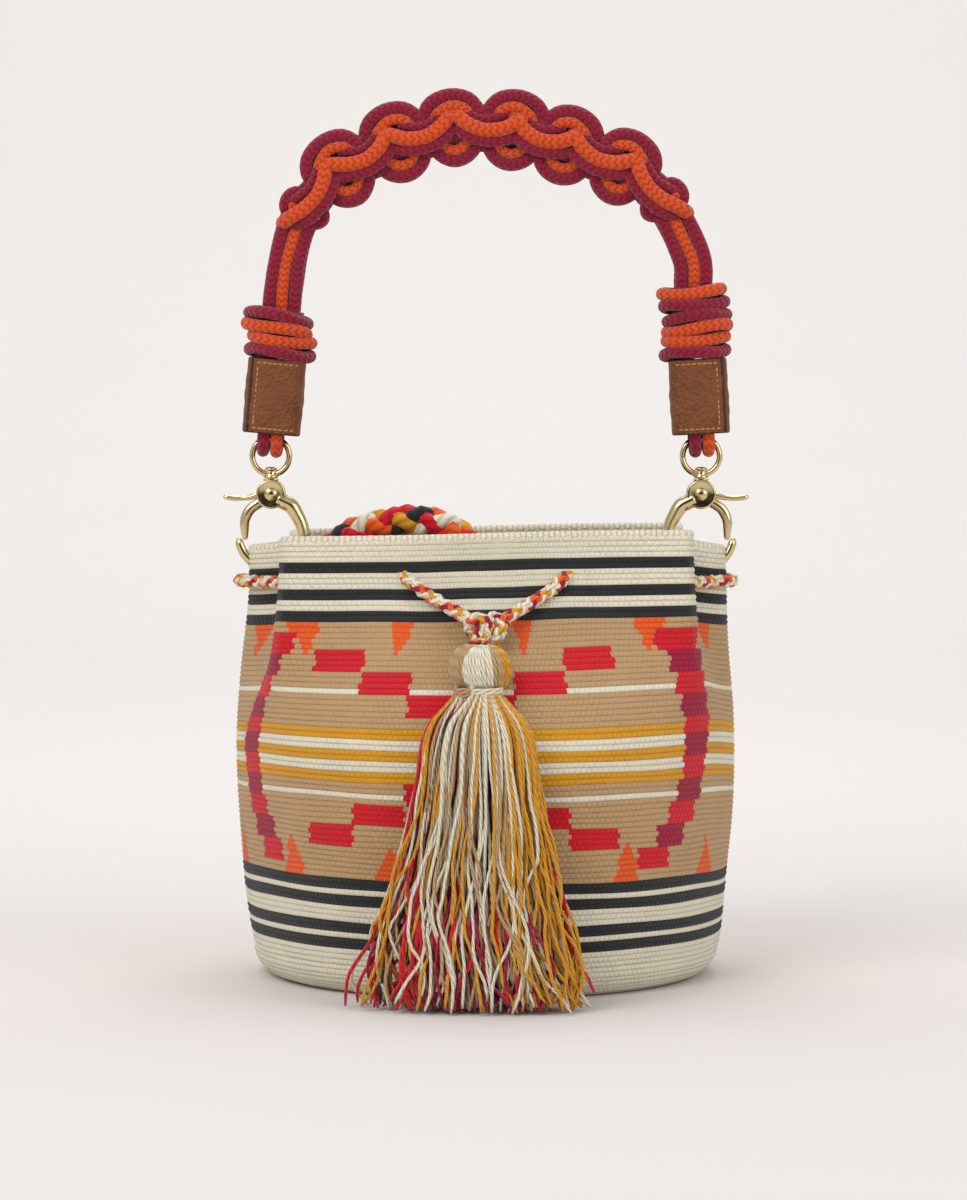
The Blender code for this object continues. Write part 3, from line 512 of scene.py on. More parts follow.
def wallNormal(angle, height):
    step = 0.01
    along = wallPoint(angle + step, height) - wallPoint(angle - step, height)
    upward = wallPoint(angle, height + step * shell["wall"]) - wallPoint(angle, height - step * shell["wall"])
    return unit(np.cross(along, upward))


# The strap: one braided cord from a sewn end, over the back rim, round its coil and up to the other end

strap = {
    "radius": 4.8 * mm, "endWidth": 14 * mm, "endDepth": 10 * mm, "endHeight": 0.138,
    "endAngle": math.radians(41), "softGap": 0.8 * mm, "coilRadius": 0.050, "onCoil": 0.0288,
    "coilStart": 11.5, "coilEnd": -620.0, "firstDrop": 10.4 * mm, "secondDrop": 9.6 * mm, "dropTurn": 51.5,
    "braid": {"pitch": 33 * mm, "reach": 2.3 * mm, "lift": 0.85 * mm, "radius": 2.3 * mm, "sides": 8},
    "step": 2.5 * mm, "loose": 0.38, "looseReach": 0.05,
}


def strapSeat(side):
    """The middle of a sewn end's pad, with its across, inward and upward directions."""
    angle = math.atan2(math.sin(strap["endAngle"]), side * math.cos(strap["endAngle"]))
    inward = -wallNormal(angle, strap["endHeight"])
    depth = shell["wall"] + strap["softGap"] + strap["endDepth"] / 2
    seat = wallPoint(angle, strap["endHeight"]) + inward * depth
    across = unit(np.cross(inward, [0.0, 0.0, 1.0]))
    return seat, across, inward, np.cross(across, inward)


def strapStart(side, leaves):
    seat, across, inward, upward = strapSeat(side)
    start = seat + upward * leaves * (strap["endWidth"] / 2 + strap["softGap"])
    return [start, start + upward * leaves * 1.6 * strap["radius"]]


def coilPoints():
    points = []
    turn = strap["coilStart"] - 15
    while turn >= strap["coilEnd"]:
        first = smoothStep((strap["coilStart"] - turn) / strap["dropTurn"])
        second = smoothStep((strap["coilStart"] - 360 - turn) / strap["dropTurn"])
        height = strap["onCoil"] - strap["firstDrop"] * first - strap["secondDrop"] * second
        bend = math.radians(turn)
        points.append((strap["coilRadius"] * math.cos(bend), strap["coilRadius"] * math.sin(bend), height))
        turn -= 15
    return points


def strapRoute():
    onCoil = strap["onCoil"]
    hump = [(-0.0605, 0.0385, 0.1515), (-0.0655, 0.0355, 0.1640), (-0.0560, 0.0370, 0.1735),
            (-0.0440, 0.0370, 0.1775), (-0.0310, 0.0370, 0.1798), (-0.0180, 0.0370, 0.1775),
            (-0.0070, 0.0370, 0.1700), (-0.0010, 0.0370, 0.1580), (0.0020, 0.0380, 0.1400),
            (0.0050, 0.0400, 0.1150), (0.0110, 0.0430, 0.0850), (0.0200, 0.0455, 0.0580),
            (0.0330, 0.0400, 0.0400), (0.0430, 0.0265, onCoil), (0.0490, 0.0100, onCoil)]
    inside = [(0.0119, 0.0444, 0.0088), (0.0245, 0.0340, 0.0088), (0.0285, 0.0190, 0.0088),
              (0.0255, 0.0065, 0.0088), (0.0190, -0.0050, 0.0088), (0.0155, -0.0160, 0.0105),
              (0.0180, -0.0265, 0.0172), (0.0265, -0.0325, 0.0255)]
    tail = [(0.0380, -0.0325, onCoil), (0.0520, -0.0240, 0.0370), (0.0650, -0.0060, 0.0520),
            (0.0710, 0.0140, 0.0780), (0.0700, 0.0290, 0.1050)]
    points = strapStart(-1, 1) + hump + coilPoints() + inside + tail + strapStart(1, -1)[::-1]
    return smoothRoute(points, strap["step"])


def strapEnd(name, side):
    """A folded end sewn flat to the lining, with its stitches round the edge."""
    seat, across, inward, upward = strapSeat(side)
    basis = np.stack([across, inward, upward], axis=1)
    half = strap["endWidth"] / 2
    rows, columns = 15, 28
    turn = np.arange(columns) * 2 * math.pi / columns
    rise = np.sin(np.linspace(-math.pi / 2, math.pi / 2, rows))
    reach = np.cos(np.linspace(-math.pi / 2, math.pi / 2, rows)) ** 0.35
    square = 1 / np.maximum(np.abs(np.cos(turn)), np.abs(np.sin(turn))) ** 0.75
    local = np.stack([half * 0.93 * reach[:, None] * (square * np.cos(turn)),
                      strap["endDepth"] / 2 * reach[:, None] * (square * np.sin(turn)) * 0.93,
                      np.repeat((half * rise)[:, None], columns, axis=1)], axis=-1)
    uv = np.stack(np.meshgrid(np.linspace(0, 12, columns + 1), np.linspace(0, 7, rows)), axis=-1)
    pad = gridPart(local @ basis.T + seat, uv, np.zeros((rows - 1, columns), int))
    parts = [pad]
    for index in range(-3, 4):
        for edge in (-1, 1):
            middle = seat + across * index * 1.6 * mm + upward * edge * (half - 2 * mm) + inward * 5.0 * mm
            ends = [middle - across * 0.6 * mm, middle + inward * 0.2 * mm, middle + across * 0.6 * mm]
            parts.append(tubePart(smoothRoute(ends, 0.3 * mm), 0.35 * mm, 1, 5))
    return buildPiece(name, parts, [crochet["red"], yarn["cream"]], "bag", [name])


def makeStrap():
    route = strapRoute()
    colours = ["red", "mustard", "orange", "red", "charcoal", "cream"]
    finishes = [yarn[word] for word in colours]
    top = lengthsAlong(route)[np.argmax(route[:, 2])]
    swell = 1 + strap["loose"] * np.exp(-((lengthsAlong(route) - top) / strap["looseReach"]) ** 4)
    braid = {**strap["braid"], "reach": strap["braid"]["reach"] * swell, "radius": strap["braid"]["radius"] * swell}
    piece = buildPiece("braided_strap", braidParts(route, braid, list(range(6))), finishes, "bag",
                       ["strap_hump", "strap_coil", "strap_tail"])
    ends = [strapEnd("strap_left_end", -1), strapEnd("strap_right_end", 1)]


makeStrap()
print("strap")


# The crochet wall, its lining, base and rim

pattern = {
    "charcoal": [0.165, 0.1538, 0.1465, 0.044, 0.037, 0.0273, 0.0204],
    "mustard": [0.103, 0.0947, 0.0863],
    "wideCream": [0.0988, 0.0904],
    "thinCream": [0.1185, 0.079],
    "fieldBottom": 0.0461, "fieldTop": 0.1444, "centre": -6.0,
    "blockTurn": 12.4, "vTop": 0.1332, "lambdaBottom": 0.0585, "blockHeight": 8.25 * mm,
    "columnBottom": 0.050, "columnTop": 0.140, "columnHalf": 4.6, "columnTurn": 61.0, "columnBow": 11.0,
    "triangleTurn": 360 / 13, "upPhase": -21.9,
    "downAt": [-166, -136, -106, -80, -51.6, -26.1, 11.5, 47.5, 77, 104, 133, 161],
    "downHeight": 12.6 * mm, "upHeight": 14 * mm, "triangleHalf": 3.6,
}
colourOrder = list(palette)


def nearStripe(height, centres, half):
    return np.any([np.abs(height - centre) < half for centre in centres], axis=0)


def patternSlots(front, height):
    """The colour of each face: degrees round from the front, and height on an untilted wall."""
    pleat = smoothStep((height - shell["pleatStart"]) / (shell["frontHeight"] - shell["pleatStart"]))
    local = (front - pattern["centre"] + 90) % 180 - 90
    away = np.abs(local) / (1 + 0.28 * pleat)
    fromColumn = np.where(local > 0, away, np.abs(local))
    slot = np.full(front.shape, colourOrder.index("cream"))
    field = (height > pattern["fieldBottom"]) & (height < pattern["fieldTop"])
    slot[field] = colourOrder.index("tan")
    slot[nearStripe(height, pattern["thinCream"], 1.05 * mm)] = colourOrder.index("cream")
    slot[nearStripe(height, pattern["wideCream"], 2.1 * mm)] = colourOrder.index("cream")
    slot[nearStripe(height, pattern["mustard"], 2.1 * mm)] = colourOrder.index("mustard")
    block = np.floor(away / pattern["blockTurn"])
    fromTop = np.floor((pattern["vTop"] - height) / pattern["blockHeight"])
    fromBottom = np.floor((height - pattern["lambdaBottom"]) / pattern["blockHeight"])
    shape = (block < 3) & ((fromTop == 2 - block) | (fromBottom == 2 - block))
    slot[shape] = colourOrder.index("red")
    step = (pattern["columnTop"] - pattern["columnBottom"]) / 11
    number = np.floor((pattern["columnTop"] - height) / step)
    middleStep = pattern["columnTop"] - (number + 0.5) * step
    bow = pattern["columnBow"] * np.where((local > 0) & (middleStep < 0.095), 1.5, 1.0)
    middle = pattern["columnTurn"] - bow * ((middleStep - 0.095) / 0.045) ** 2
    column = (number >= 0) & (number < 11) & (np.abs(fromColumn - middle) < pattern["columnHalf"])
    slot[column & (number % 2 == 0)] = colourOrder.index("red")
    slot[column & (number % 2 == 1)] = colourOrder.index("crimson")
    upright = np.where(np.abs(front) < 70, front / (1 + 0.28 * pleat) * 1.17, front)
    nearest = np.min([np.abs((upright - at + 180) % 360 - 180) for at in pattern["downAt"]], axis=0)
    offset = (front - pattern["upPhase"] + pattern["triangleTurn"] / 2) % pattern["triangleTurn"]
    offset = np.abs(offset - pattern["triangleTurn"] / 2)
    for offset, edge, rise, tall in ((nearest, "fieldTop", -1, "downHeight"), (offset, "fieldBottom", 1, "upHeight")):
        share = (height - pattern[edge]) * rise / pattern[tall]
        inside = (share > 0) & (share < 1) & (offset < pattern["triangleHalf"] * (1 - share) + 0.35)
        slot[inside & ~column & ~shape] = colourOrder.index("orange")
    slot[nearStripe(height, pattern["charcoal"], 2.1 * mm)] = colourOrder.index("charcoal")
    return slot


def wobble(angle, height):
    """Slack in the handwork, a few tenths of a millimetre."""
    return 0.45 * mm * (np.sin(3 * angle + 1.3 + 22 * height) * np.sin(58 * height + 2 + 2 * angle)
                        + 0.6 * np.sin(11 * angle + 90 * height) * np.cos(41 * height))


def wallGrid(columns, levelsPerRow, inset, relief):
    rows = round((shell["frontHeight"] - shell["baseCorner"]) / shell["rowPitch"])
    share = np.linspace(0, 1, rows * levelsPerRow + 1)[:, None]
    angle = (np.arange(columns) * 2 * math.pi / columns)[None, :]
    nominal = shell["baseCorner"] + (shell["frontHeight"] - shell["baseCorner"]) * share
    level = shell["baseCorner"] + (rimHeight(angle) - shell["baseCorner"]) * share
    low = np.sin(math.pi * np.clip(share / 0.6, 0, 1))
    level = level - 1.5 * mm * np.cos(angle) * low + 0.22 * mm * np.sin(9 * angle + 40 * share) * low
    height = np.broadcast_to(level, (len(share), columns))
    turn = np.broadcast_to(angle, height.shape)
    rowIndex = np.arange(len(share))[:, None] / levelsPerRow
    crest = np.abs(np.sin(math.pi * rowIndex)) - 0.5
    stitch = np.arange(columns)[None, :] * shell["stitches"] / columns + 0.5 * (np.floor(rowIndex) % 2)
    proud = relief * (crest + 0.3 * np.cos(2 * math.pi * stitch) * (crest > 0)) + wobble(turn, height)
    normal = wallNormal(turn, height)
    points = wallPoint(turn, height) + normal * (proud - inset)[..., None]
    uvAcross = np.arange(columns + 1) * shell["stitches"] / columns
    uv = np.stack(np.meshgrid(uvAcross, rowIndex[:, 0] + 40), axis=-1)
    rowOfFace = np.floor((np.arange(len(share) - 1) + 0.5) / levelsPerRow)[:, None]
    stagger = np.where(rowOfFace % 2 == 1, 0.5, 0.0)
    stitchOfFace = np.floor((np.arange(columns) + 0.5)[None, :] * shell["stitches"] / columns + stagger) - stagger
    front = np.degrees((stitchOfFace + 0.5) * 2 * math.pi / shell["stitches"]) + 90
    front = (front + 180) % 360 - 180
    middle = shell["baseCorner"] + (rowOfFace + 0.5) * (shell["frontHeight"] - shell["baseCorner"]) / rows
    slots = patternSlots(front, np.broadcast_to(middle, front.shape))
    return points, uv, slots


def makeShell():
    finishes = [crochet[word] for word in colourOrder]
    points, uv, slots = wallGrid(2 * shell["stitches"], 2, 0.0, 0.38 * mm)
    buildPiece("crochet_wall", [gridPart(points, uv, slots)], finishes, "bag", ["bag_shell"])
    inner, innerUv, innerSlots = wallGrid(shell["stitches"], 1, shell["wall"], 0.0)
    lining = gridPart(inner, innerUv, innerSlots)
    lining["quads"] = lining["quads"][:, ::-1]
    lining["uv"] = lining["uv"][:, ::-1]
    buildPiece("crochet_lining", [lining], finishes, "bag", ())
    makeBase(points[0], inner[0])
    makeRim(points[-1], inner[-1])


def makeBase(outerEdge, innerEdge):
    """Spiral rounds from the middle out, turned up at the corner, with the floor inside."""
    flat = shell["baseRadius"] - shell["baseCorner"]
    columns = shell["stitches"]
    angle = np.arange(columns) * 2 * math.pi / columns
    count = 38
    rounds = np.linspace(0.02, 1, count) * flat
    rings = [(reach, 0.0) for reach in rounds]
    for step in range(1, 9):
        bend = math.pi / 2 * step / 9
        rings.append((flat + shell["baseCorner"] * math.sin(bend), shell["baseCorner"] * (1 - math.cos(bend))))
    relief = [0.25 * mm * (index % 2) for index in range(len(rings))]
    under = np.array([[(reach * math.cos(at), reach * math.sin(at), height + lift) for at in angle]
                      for (reach, height), lift in zip(rings, relief)])
    under = np.concatenate([under, outerEdge[None, ::2]])
    uv = np.stack(np.meshgrid(np.arange(columns + 1) * 1.0, np.arange(len(under)) * 1.0), axis=-1)
    slots = np.zeros((len(under) - 1, columns), int)
    over = np.array([[(reach * math.cos(at), reach * math.sin(at), shell["wall"]) for at in angle]
                     for reach, height in rings[:count]] + [innerEdge])
    floorUv = np.stack(np.meshgrid(np.arange(columns + 1) * 1.0, np.arange(len(over)) * 1.0), axis=-1)
    parts = [gridPart(under, uv, slots), gridPart(over[:, ::-1], floorUv, np.zeros((len(over) - 1, columns), int))]
    buildPiece("crochet_base", parts, [crochet["cream"]], "bag", ())


def makeRim(outer, inner):
    """The last round, worked over the edge as a chain."""
    middle = (outer[::2] + inner) / 2 + np.array([0, 0, 0.1 * mm])
    count = len(middle)
    swell = 1.8 * mm * (1 + 0.03 * np.cos(np.arange(count) * math.pi))
    chain = tubePart(middle, swell, 0, 12, closed=True)
    chain["uv"] = chain["uv"] * np.array([4.0, 1 / 2.2])
    buildPiece("crochet_rim", [chain], [crochet["cream"]], "bag", ())


makeShell()
print("crochet shell")


# Drawstring, its knot and the hanger

drawCord = {
    "radius": 2.5 * mm, "knotRadius": 5.3 * mm, "contact": 0.137, "softGap": 0.8 * mm,
    "plied": {"pitch": 15 * mm, "reach": 1.35 * mm, "lift": 0.4 * mm, "radius": 1.18 * mm, "sides": 8},
    "ear": [(0, 0.1570, 0.0030), (5, 0.1570, 0.0041), (10, 0.1570, 0.0049), (17.3, 0.1573, 0.0080),
            (25, 0.1576, -0.0020), (33, 0.1580, -0.0092), (39, 0.1586, -0.0068)],
    "front": [(48, 0.1600, -0.0066), (55, 0.1610, -0.0048), (59, 0.1608, -0.0016),
              (63, 0.1590, 0.0022), (69, 0.1545, 0.0032)],
    "back": [(48, 0.1592, -0.0066), (55, 0.1595, -0.0048), (59, 0.1595, -0.0016),
             (64, 0.1595, 0.0020), (72, 0.1595, 0.0030), (81, 0.1595, 0.0030)],
}


def knotCentre():
    contact = wallPoint(-math.pi / 2, drawCord["contact"])
    return contact + wallNormal(-math.pi / 2, drawCord["contact"]) * (drawCord["knotRadius"] + drawCord["softGap"])


def cordPass(stations, side, front):
    points = []
    for turn, height, standOff in stations:
        angle = math.atan2(front * math.sin(math.radians(turn)), side * math.cos(math.radians(turn)))
        points.append(wallPoint(angle, height, standOff))
    return points


def drawstringHalf(side):
    front = cordPass(drawCord["ear"][1:] + drawCord["front"], side, -1)
    front.append(knotCentre() + np.array([side * 2.5 * mm, 0.5 * mm, 1.5 * mm]))
    return front[::-1] + cordPass(drawCord["ear"] + drawCord["back"], side, 1)


def makeDrawstring():
    strands = ["cream", "orange", "mustard", "cream", "crimson", "cream"]
    finishes = [yarn[word] for word in strands]
    back = wallPoint(math.pi / 2, 0.1595, 0.0030)
    route = smoothRoute(drawstringHalf(-1) + [back] + drawstringHalf(1)[::-1], 1.6 * mm)
    buildPiece("plied_drawstring", braidParts(route, drawCord["plied"], range(6)), finishes, "bag",
               ["drawstring"])
    centre = knotCentre()
    turns = np.linspace(0, 2 * math.pi, 90)[:-1]
    loops = np.stack([2.3 * mm * (np.sin(turns) + 2 * np.sin(2 * turns)),
                      -2.4 * mm * np.sin(3 * turns) - 1.2 * mm,
                      2.5 * mm * (np.cos(turns) - 2 * np.cos(2 * turns)) - 0.5 * mm], axis=-1)
    knot = braidParts(np.vstack([loops, loops[:2]]) + centre, {**drawCord["plied"], "pitch": 12 * mm}, range(6))
    hub = centre + np.array([0, -4.5 * mm, 0])
    stem = smoothRoute([hub + np.array([0.5 * mm, 1 * mm, 5 * mm]), hub, hub + np.array([-0.8 * mm, -1 * mm, -6 * mm]),
                        hub + np.array([-0.3 * mm, -6 * mm, -11 * mm])], 1.2 * mm)
    knot += braidParts(stem, {**drawCord["plied"], "pitch": 12 * mm}, range(6))
    buildPiece("plied_knot", knot, finishes, "knot", ["drawstring_knot"])


makeDrawstring()
print("drawstring")


# Tassels: yarns from two wound necks, fanning to the floor in front of the belly

tassels = {
    "headHeight": 0.127, "headLength": 17.6 * mm, "neck": 0.1186, "neckRadius": 4.8 * mm,
    "yarnRadius": 0.68 * mm, "standOff": 2.6 * mm, "halfDepth": 10.5 * mm,
    "fan": [(0.112, -0.0215, 0.0160), (0.100, -0.0250, 0.0200), (0.084, -0.0272, 0.0222),
            (0.066, -0.0310, 0.0250), (0.048, -0.0365, 0.0278), (0.030, -0.0415, 0.0310),
            (0.014, -0.0440, 0.0365), (0.0006, -0.0450, 0.0410)],
    "heights": [0.1186, 0.1140, 0.1085, 0.1015, 0.0940, 0.0865, 0.0790, 0.0715, 0.0640, 0.0570, 0.0500, 0.0435, 0.0370,
                0.0310, 0.0250, 0.0190, 0.0130, 0.0070, 0.0],
    "sides": 5, "step": 3.2 * mm,
}
frontTassel = {"x": 0.0 * mm, "forward": 3.0 * mm, "reach": 8.9 * mm, "count": 225, "left": 0.70, "right": 0.96,
               "near": -1.35, "far": 0.35, "lift": 13 * mm}
backTassel = {"x": -6.0 * mm, "forward": -0.6 * mm, "reach": 7.6 * mm, "count": 185, "left": 1.02, "right": 0.82,
              "near": -0.45, "far": 1.0, "lift": 6 * mm}


def fallDepth(height, halfDepth):
    clearOf = shell["bellyRadius"] if height < shell["bellyHeight"] else float(wallReach(-math.pi / 2, height))
    return -(clearOf + tassels["standOff"] + halfDepth)


def yarnColour(across, depth):
    """Cream leads on the left of the front, mustard on its right, reds lie behind."""
    if depth > -0.25 and chance.random() < 0.68:
        return chance.choice(["red", "crimson", "orange", "red", "crimson", "charcoal", "red"])
    if across > 0.4 and chance.random() < 0.72 or across < -0.7 and chance.random() < 0.3:
        return "mustard"
    return chance.choice(["cream", "tan", "mustard", "orange"], p=[0.49, 0.35, 0.13, 0.03])


def yarnLine(look, across, depth, surfacing):
    end = chance.random() ** 2 * look["lift"] * (1.0 if depth < 0.2 else 0.3) + 0.0009
    sway = chance.uniform(-1, 1, 4)
    phase = chance.uniform(0, 2 * math.pi, 4)
    points = []
    fanHeights = [row[0] for row in tassels["fan"]][::-1]
    for height in tassels["heights"]:
        height = max(height, end)
        left = np.interp(height, fanHeights, [row[1] for row in tassels["fan"]][::-1]) * look["left"]
        right = np.interp(height, fanHeights, [row[2] for row in tassels["fan"]][::-1]) * look["right"]
        fall = 1 - height / tassels["neck"]
        open1 = float(smoothStep(fall / 0.11)) ** 0.6
        middle, half = (left + right) / 2, (right - left) / 2
        spread = 0.93 * across + fall * (0.24 * sway[0] * math.sin(5 * fall + phase[0]) + 0.19 * sway[1] * math.sin(13 * fall + phase[1]))
        x = (1 - open1) * (look["x"] + across * tassels["neckRadius"]) + open1 * (middle + spread * half)
        halfDepth = tassels["neckRadius"] + (tassels["halfDepth"] - tassels["neckRadius"]) * open1 ** 0.5
        round1 = math.sqrt(max(1 - 0.55 * across * across, 0.05))
        push = depth * (0.55 + 0.45 * fall) + 0.25 * fall * sway[2] * math.sin(7 * fall + phase[2])
        if surfacing:
            push += (-1.05 - push) * float(smoothStep((fall - 0.45) / 0.3))
        y = fallDepth(height, halfDepth) - look["forward"] + max(min(push * round1, 1.02), -1.3) * halfDepth
        curl = (0.3 + 1.5 * abs(sway[3])) * mm * fall ** 1.3
        x += curl * (math.sin(23 * fall + phase[3]) + 0.45 * math.sin(47 * fall + phase[1]))
        y += curl * 0.8 * math.cos(31 * fall + phase[0])
        points.append((x, y, height))
        if height == end:
            break
    return smoothRoute(points, tassels["step"])


def tasselHead(look, words):
    centre = np.array([look["x"], fallDepth(tassels["headHeight"], look["reach"] * 0.9) - look["forward"],
                       tassels["headHeight"]])
    bends = np.linspace(0.12, 2.72, 15)
    parts = []
    count = 38
    for index in range(count):
        azimuth = 2 * math.pi * index / count + chance.uniform(-0.03, 0.03)
        reach = look["reach"] * np.sin(bends) ** 0.85 + chance.uniform(-0.15, 0.15) * mm
        twist = azimuth + 0.10 * bends
        line = np.stack([reach * np.cos(twist), 0.92 * reach * np.sin(twist),
                         tassels["headLength"] / 2 * np.cos(bends)], axis=-1) + centre
        sector = (math.degrees(azimuth) + 90 + 180) % 360 - 180
        word = words[0] if sector < 12 else words[1] if sector < 34 else words[2] if sector < 85 else words[1]
        parts.append(tubePart(line, 0.86 * mm, colourOrder.index(word), 6))
    core = lathePart([(0.0, 8 * mm)] + [(look["reach"] * 0.93 * math.sin(bend), 8.2 * mm * math.cos(bend))
                                        for bend in np.linspace(0.3, 2.7, 12)], colourOrder.index("tan"), 24)
    parts.append(moved(core, Matrix.Translation(centre)))
    return parts


def neckTie(name, look, word, node):
    turns = np.linspace(0, 2 * math.pi * 3.6, 110)
    reach = tassels["neckRadius"] + 1.0 * mm
    depth = fallDepth(tassels["neck"], tassels["neckRadius"]) - look["forward"]
    line = np.stack([look["x"] + reach * np.cos(turns), depth + reach * np.sin(turns),
                     tassels["neck"] + (turns / turns[-1] - 0.5) * 4.2 * mm], axis=-1)
    buildPiece(name, [tubePart(line, 0.78 * mm, 0, 7)], [yarn[word]], "tassels", [node])


def makeTassel(name, look, words, node):
    parts = tasselHead(look, words)
    for index in range(look["count"]):
        across = chance.uniform(-1, 1)
        depth = look["near"] + (look["far"] - look["near"]) * (index + 0.5) / look["count"]
        word = yarnColour(across, depth)
        surfacing = word in ("red", "crimson") and chance.random() < 0.75 and abs(across) < 0.7
        line = yarnLine(look, across, depth, surfacing)
        taper = np.full(len(line), tassels["yarnRadius"])
        taper[-1] *= 0.6
        parts.append(tubePart(line, taper, colourOrder.index(word), tassels["sides"]))
    finishes = [yarn[each] for each in colourOrder]
    buildPiece(name, parts, finishes, "tassels", [node])


makeTassel("left_yarn_tassel", backTassel, ["tan", "tan", "mustard"], "left_tassel")
makeTassel("right_yarn_tassel", frontTassel, ["cream", "tan", "mustard"], "right_tassel")
neckTie("left_neck_tie", backTassel, "tan", "left_tassel_tie")
neckTie("right_neck_tie", frontTassel, "cream", "right_tassel_tie")


def makeHanger():
    hub = knotCentre() + np.array([0, -5 * mm, -5 * mm])
    parts = []
    for look in (backTassel, frontTassel):
        top = np.array([look["x"], fallDepth(tassels["headHeight"], look["reach"] * 0.9) - look["forward"],
                        tassels["headHeight"] + tassels["headLength"] / 2])
        line = smoothRoute([hub, (hub + top) / 2 + np.array([0, -1 * mm, 1.2 * mm]), top], 1.2 * mm)
        parts += pliedParts(line, {"pitch": 8 * mm, "reach": 0.9 * mm, "radius": 0.85 * mm, "sides": 6}, [0, 1, 2])
    buildPiece("plied_hanger", parts, [yarn["cream"], yarn["crimson"], yarn["mustard"]], "tassels",
               ["tassel_hanger"])


makeHanger()
print("tassels")


# Handle: rope loops through the rings, leather sleeves, wound knots and the knotted grip

handle = {
    "reach": 0.0860, "ringTop": 0.2140, "leftLean": math.radians(5), "rightLean": math.radians(-3),
    "ropeRadius": 2.5 * mm, "loopBend": 5.5 * mm, "gap": 0.3 * mm, "sleeveLift": 1.4 * mm,
    "sleeveWidth": 23 * mm, "sleeveDepth": 20 * mm, "sleeveLength": 30 * mm, "sleeveWall": 1.6 * mm,
    "knotReach": 14.5 * mm, "knotFlat": 0.8, "knotTurn": 9.5 * mm,
}


def endFrame(side):
    lean = handle["leftLean"] if side < 0 else handle["rightLean"]
    return Matrix.Translation((side * handle["reach"], 0, handle["ringTop"])) @ Matrix.Rotation(lean, 4, "Y")


def inFrame(matrix, points):
    return np.asarray(points, float) @ np.array(matrix.to_3x3()).T + np.array(matrix.translation)


def makeLoops(word, matrix):
    """Each rope's end comes down inside the sleeve, under the ring and up again."""
    beside = handle["ropeRadius"] + handle["gap"] / 2
    top = handle["sleeveLift"] + handle["sleeveLength"] - 1 * mm
    for name, offset in (("crimson", -beside), ("orange", beside)):
        points = [(offset, -handle["loopBend"], top * share) for share in (1, 0.67, 0.33, 0.1, 0)]
        for step in range(1, 12):
            bend = math.pi + math.pi * step / 12
            points.append((offset, handle["loopBend"] * math.cos(bend), handle["loopBend"] * math.sin(bend)))
        points += [(offset, handle["loopBend"], top * share) for share in (0, 0.1, 0.33, 0.67, 1)]
        line = smoothRoute(inFrame(matrix, points), 1.2 * mm)
        buildPiece(f"{word}_{name}_rope_loop", [tubePart(line, handle["ropeRadius"], 0, 14)], [rope[name]],
                   "handle", [f"{word}_{name}_loop"])


def makeSleeve(word, matrix, side):
    """A folded leather sleeve: rounded, slightly creased, with its raw edge and stitches showing."""
    columns, rows = 72, 30
    turn = np.arange(columns) * 2 * math.pi / columns
    bottom = handle["sleeveLift"]

    power = 0.62

    def faceDepth(across):
        share = min(abs(across) / (handle["sleeveWidth"] / 2), 1.0)
        return handle["sleeveDepth"] / 2 * (1 - share ** (2 / power)) ** (power / 2)

    def section(shrink, height):
        x = (handle["sleeveWidth"] / 2 - shrink) * np.sign(np.cos(turn)) * np.abs(np.cos(turn)) ** power
        y = (handle["sleeveDepth"] / 2 - shrink) * np.sign(np.sin(turn)) * np.abs(np.sin(turn)) ** power
        share = (height - bottom) / handle["sleeveLength"]
        crease = 0.25 * mm * np.sin(5 * turn + 9 * share) * np.sin(math.pi * share) * np.sin(19 * share + 2 * np.cos(turn))
        bulge = 1 + 0.02 * math.sin(math.pi * share) + crease / (handle["sleeveWidth"] / 2)
        return np.stack([x * bulge, y * bulge, np.full(columns, height)], axis=-1)

    outer = [section(0.5 * mm, bottom)] + [section(0.0, bottom + 0.5 * mm + (handle["sleeveLength"] - 1 * mm) * step / rows)
                                           for step in range(rows + 1)]
    outer.append(section(0.5 * mm, bottom + handle["sleeveLength"]))
    inner = [section(handle["sleeveWall"], bottom + handle["sleeveLength"] * share) for share in (1, 0.5, 0)]
    points = np.array(outer + inner + [outer[0]])
    slots = np.zeros((len(points) - 1, columns), int)
    slots[0] = 1
    slots[rows + 1:] = 1
    uv = np.zeros((len(points), columns + 1, 2))
    parts = [moved(gridPart(points, uv, slots), matrix)]
    edge = side * (handle["sleeveWidth"] / 2 - 2.2 * mm)
    for facing in (-1, 1):
        strip = [(edge, facing * faceDepth(edge), bottom + 0.6 * mm + (handle["sleeveLength"] - 1.2 * mm) * share)
                 for share in np.linspace(0, 1, 12)]
        parts.append(tubePart(inFrame(matrix, strip), 0.75 * mm, 1, 8, 0.9))
        lines = [[(-side * x, bottom + height) for x in np.arange(-6.5 * mm, 9.4 * mm, 2.1 * mm)]
                 for height in (2.0 * mm, handle["sleeveLength"] - 2.0 * mm)]
        for row in lines:
            for x, z in row:
                surface = facing * (faceDepth(x) + 0.15 * mm)
                ends = [(x - 0.75 * mm, surface - facing * 0.3 * mm, z), (x, surface, z), (x + 0.75 * mm, surface - facing * 0.3 * mm, z)]
                parts.append(tubePart(inFrame(matrix, ends), 0.32 * mm, 2, 6))
        for height in np.arange(4.2 * mm, handle["sleeveLength"] - 3.4 * mm, 2.1 * mm):
            x = edge - side * 2.2 * mm
            surface = facing * (faceDepth(x) + 0.15 * mm)
            ends = [(x, surface - facing * 0.3 * mm, bottom + height - 0.75 * mm), (x, surface, bottom + height),
                    (x, surface - facing * 0.3 * mm, bottom + height + 0.75 * mm)]
            parts.append(tubePart(inFrame(matrix, ends), 0.32 * mm, 2, 6))
    buildPiece(word + "_leather_sleeve", parts, [leather, leatherEdge, sewingThread], "handle",
               [word + "_sleeve"])


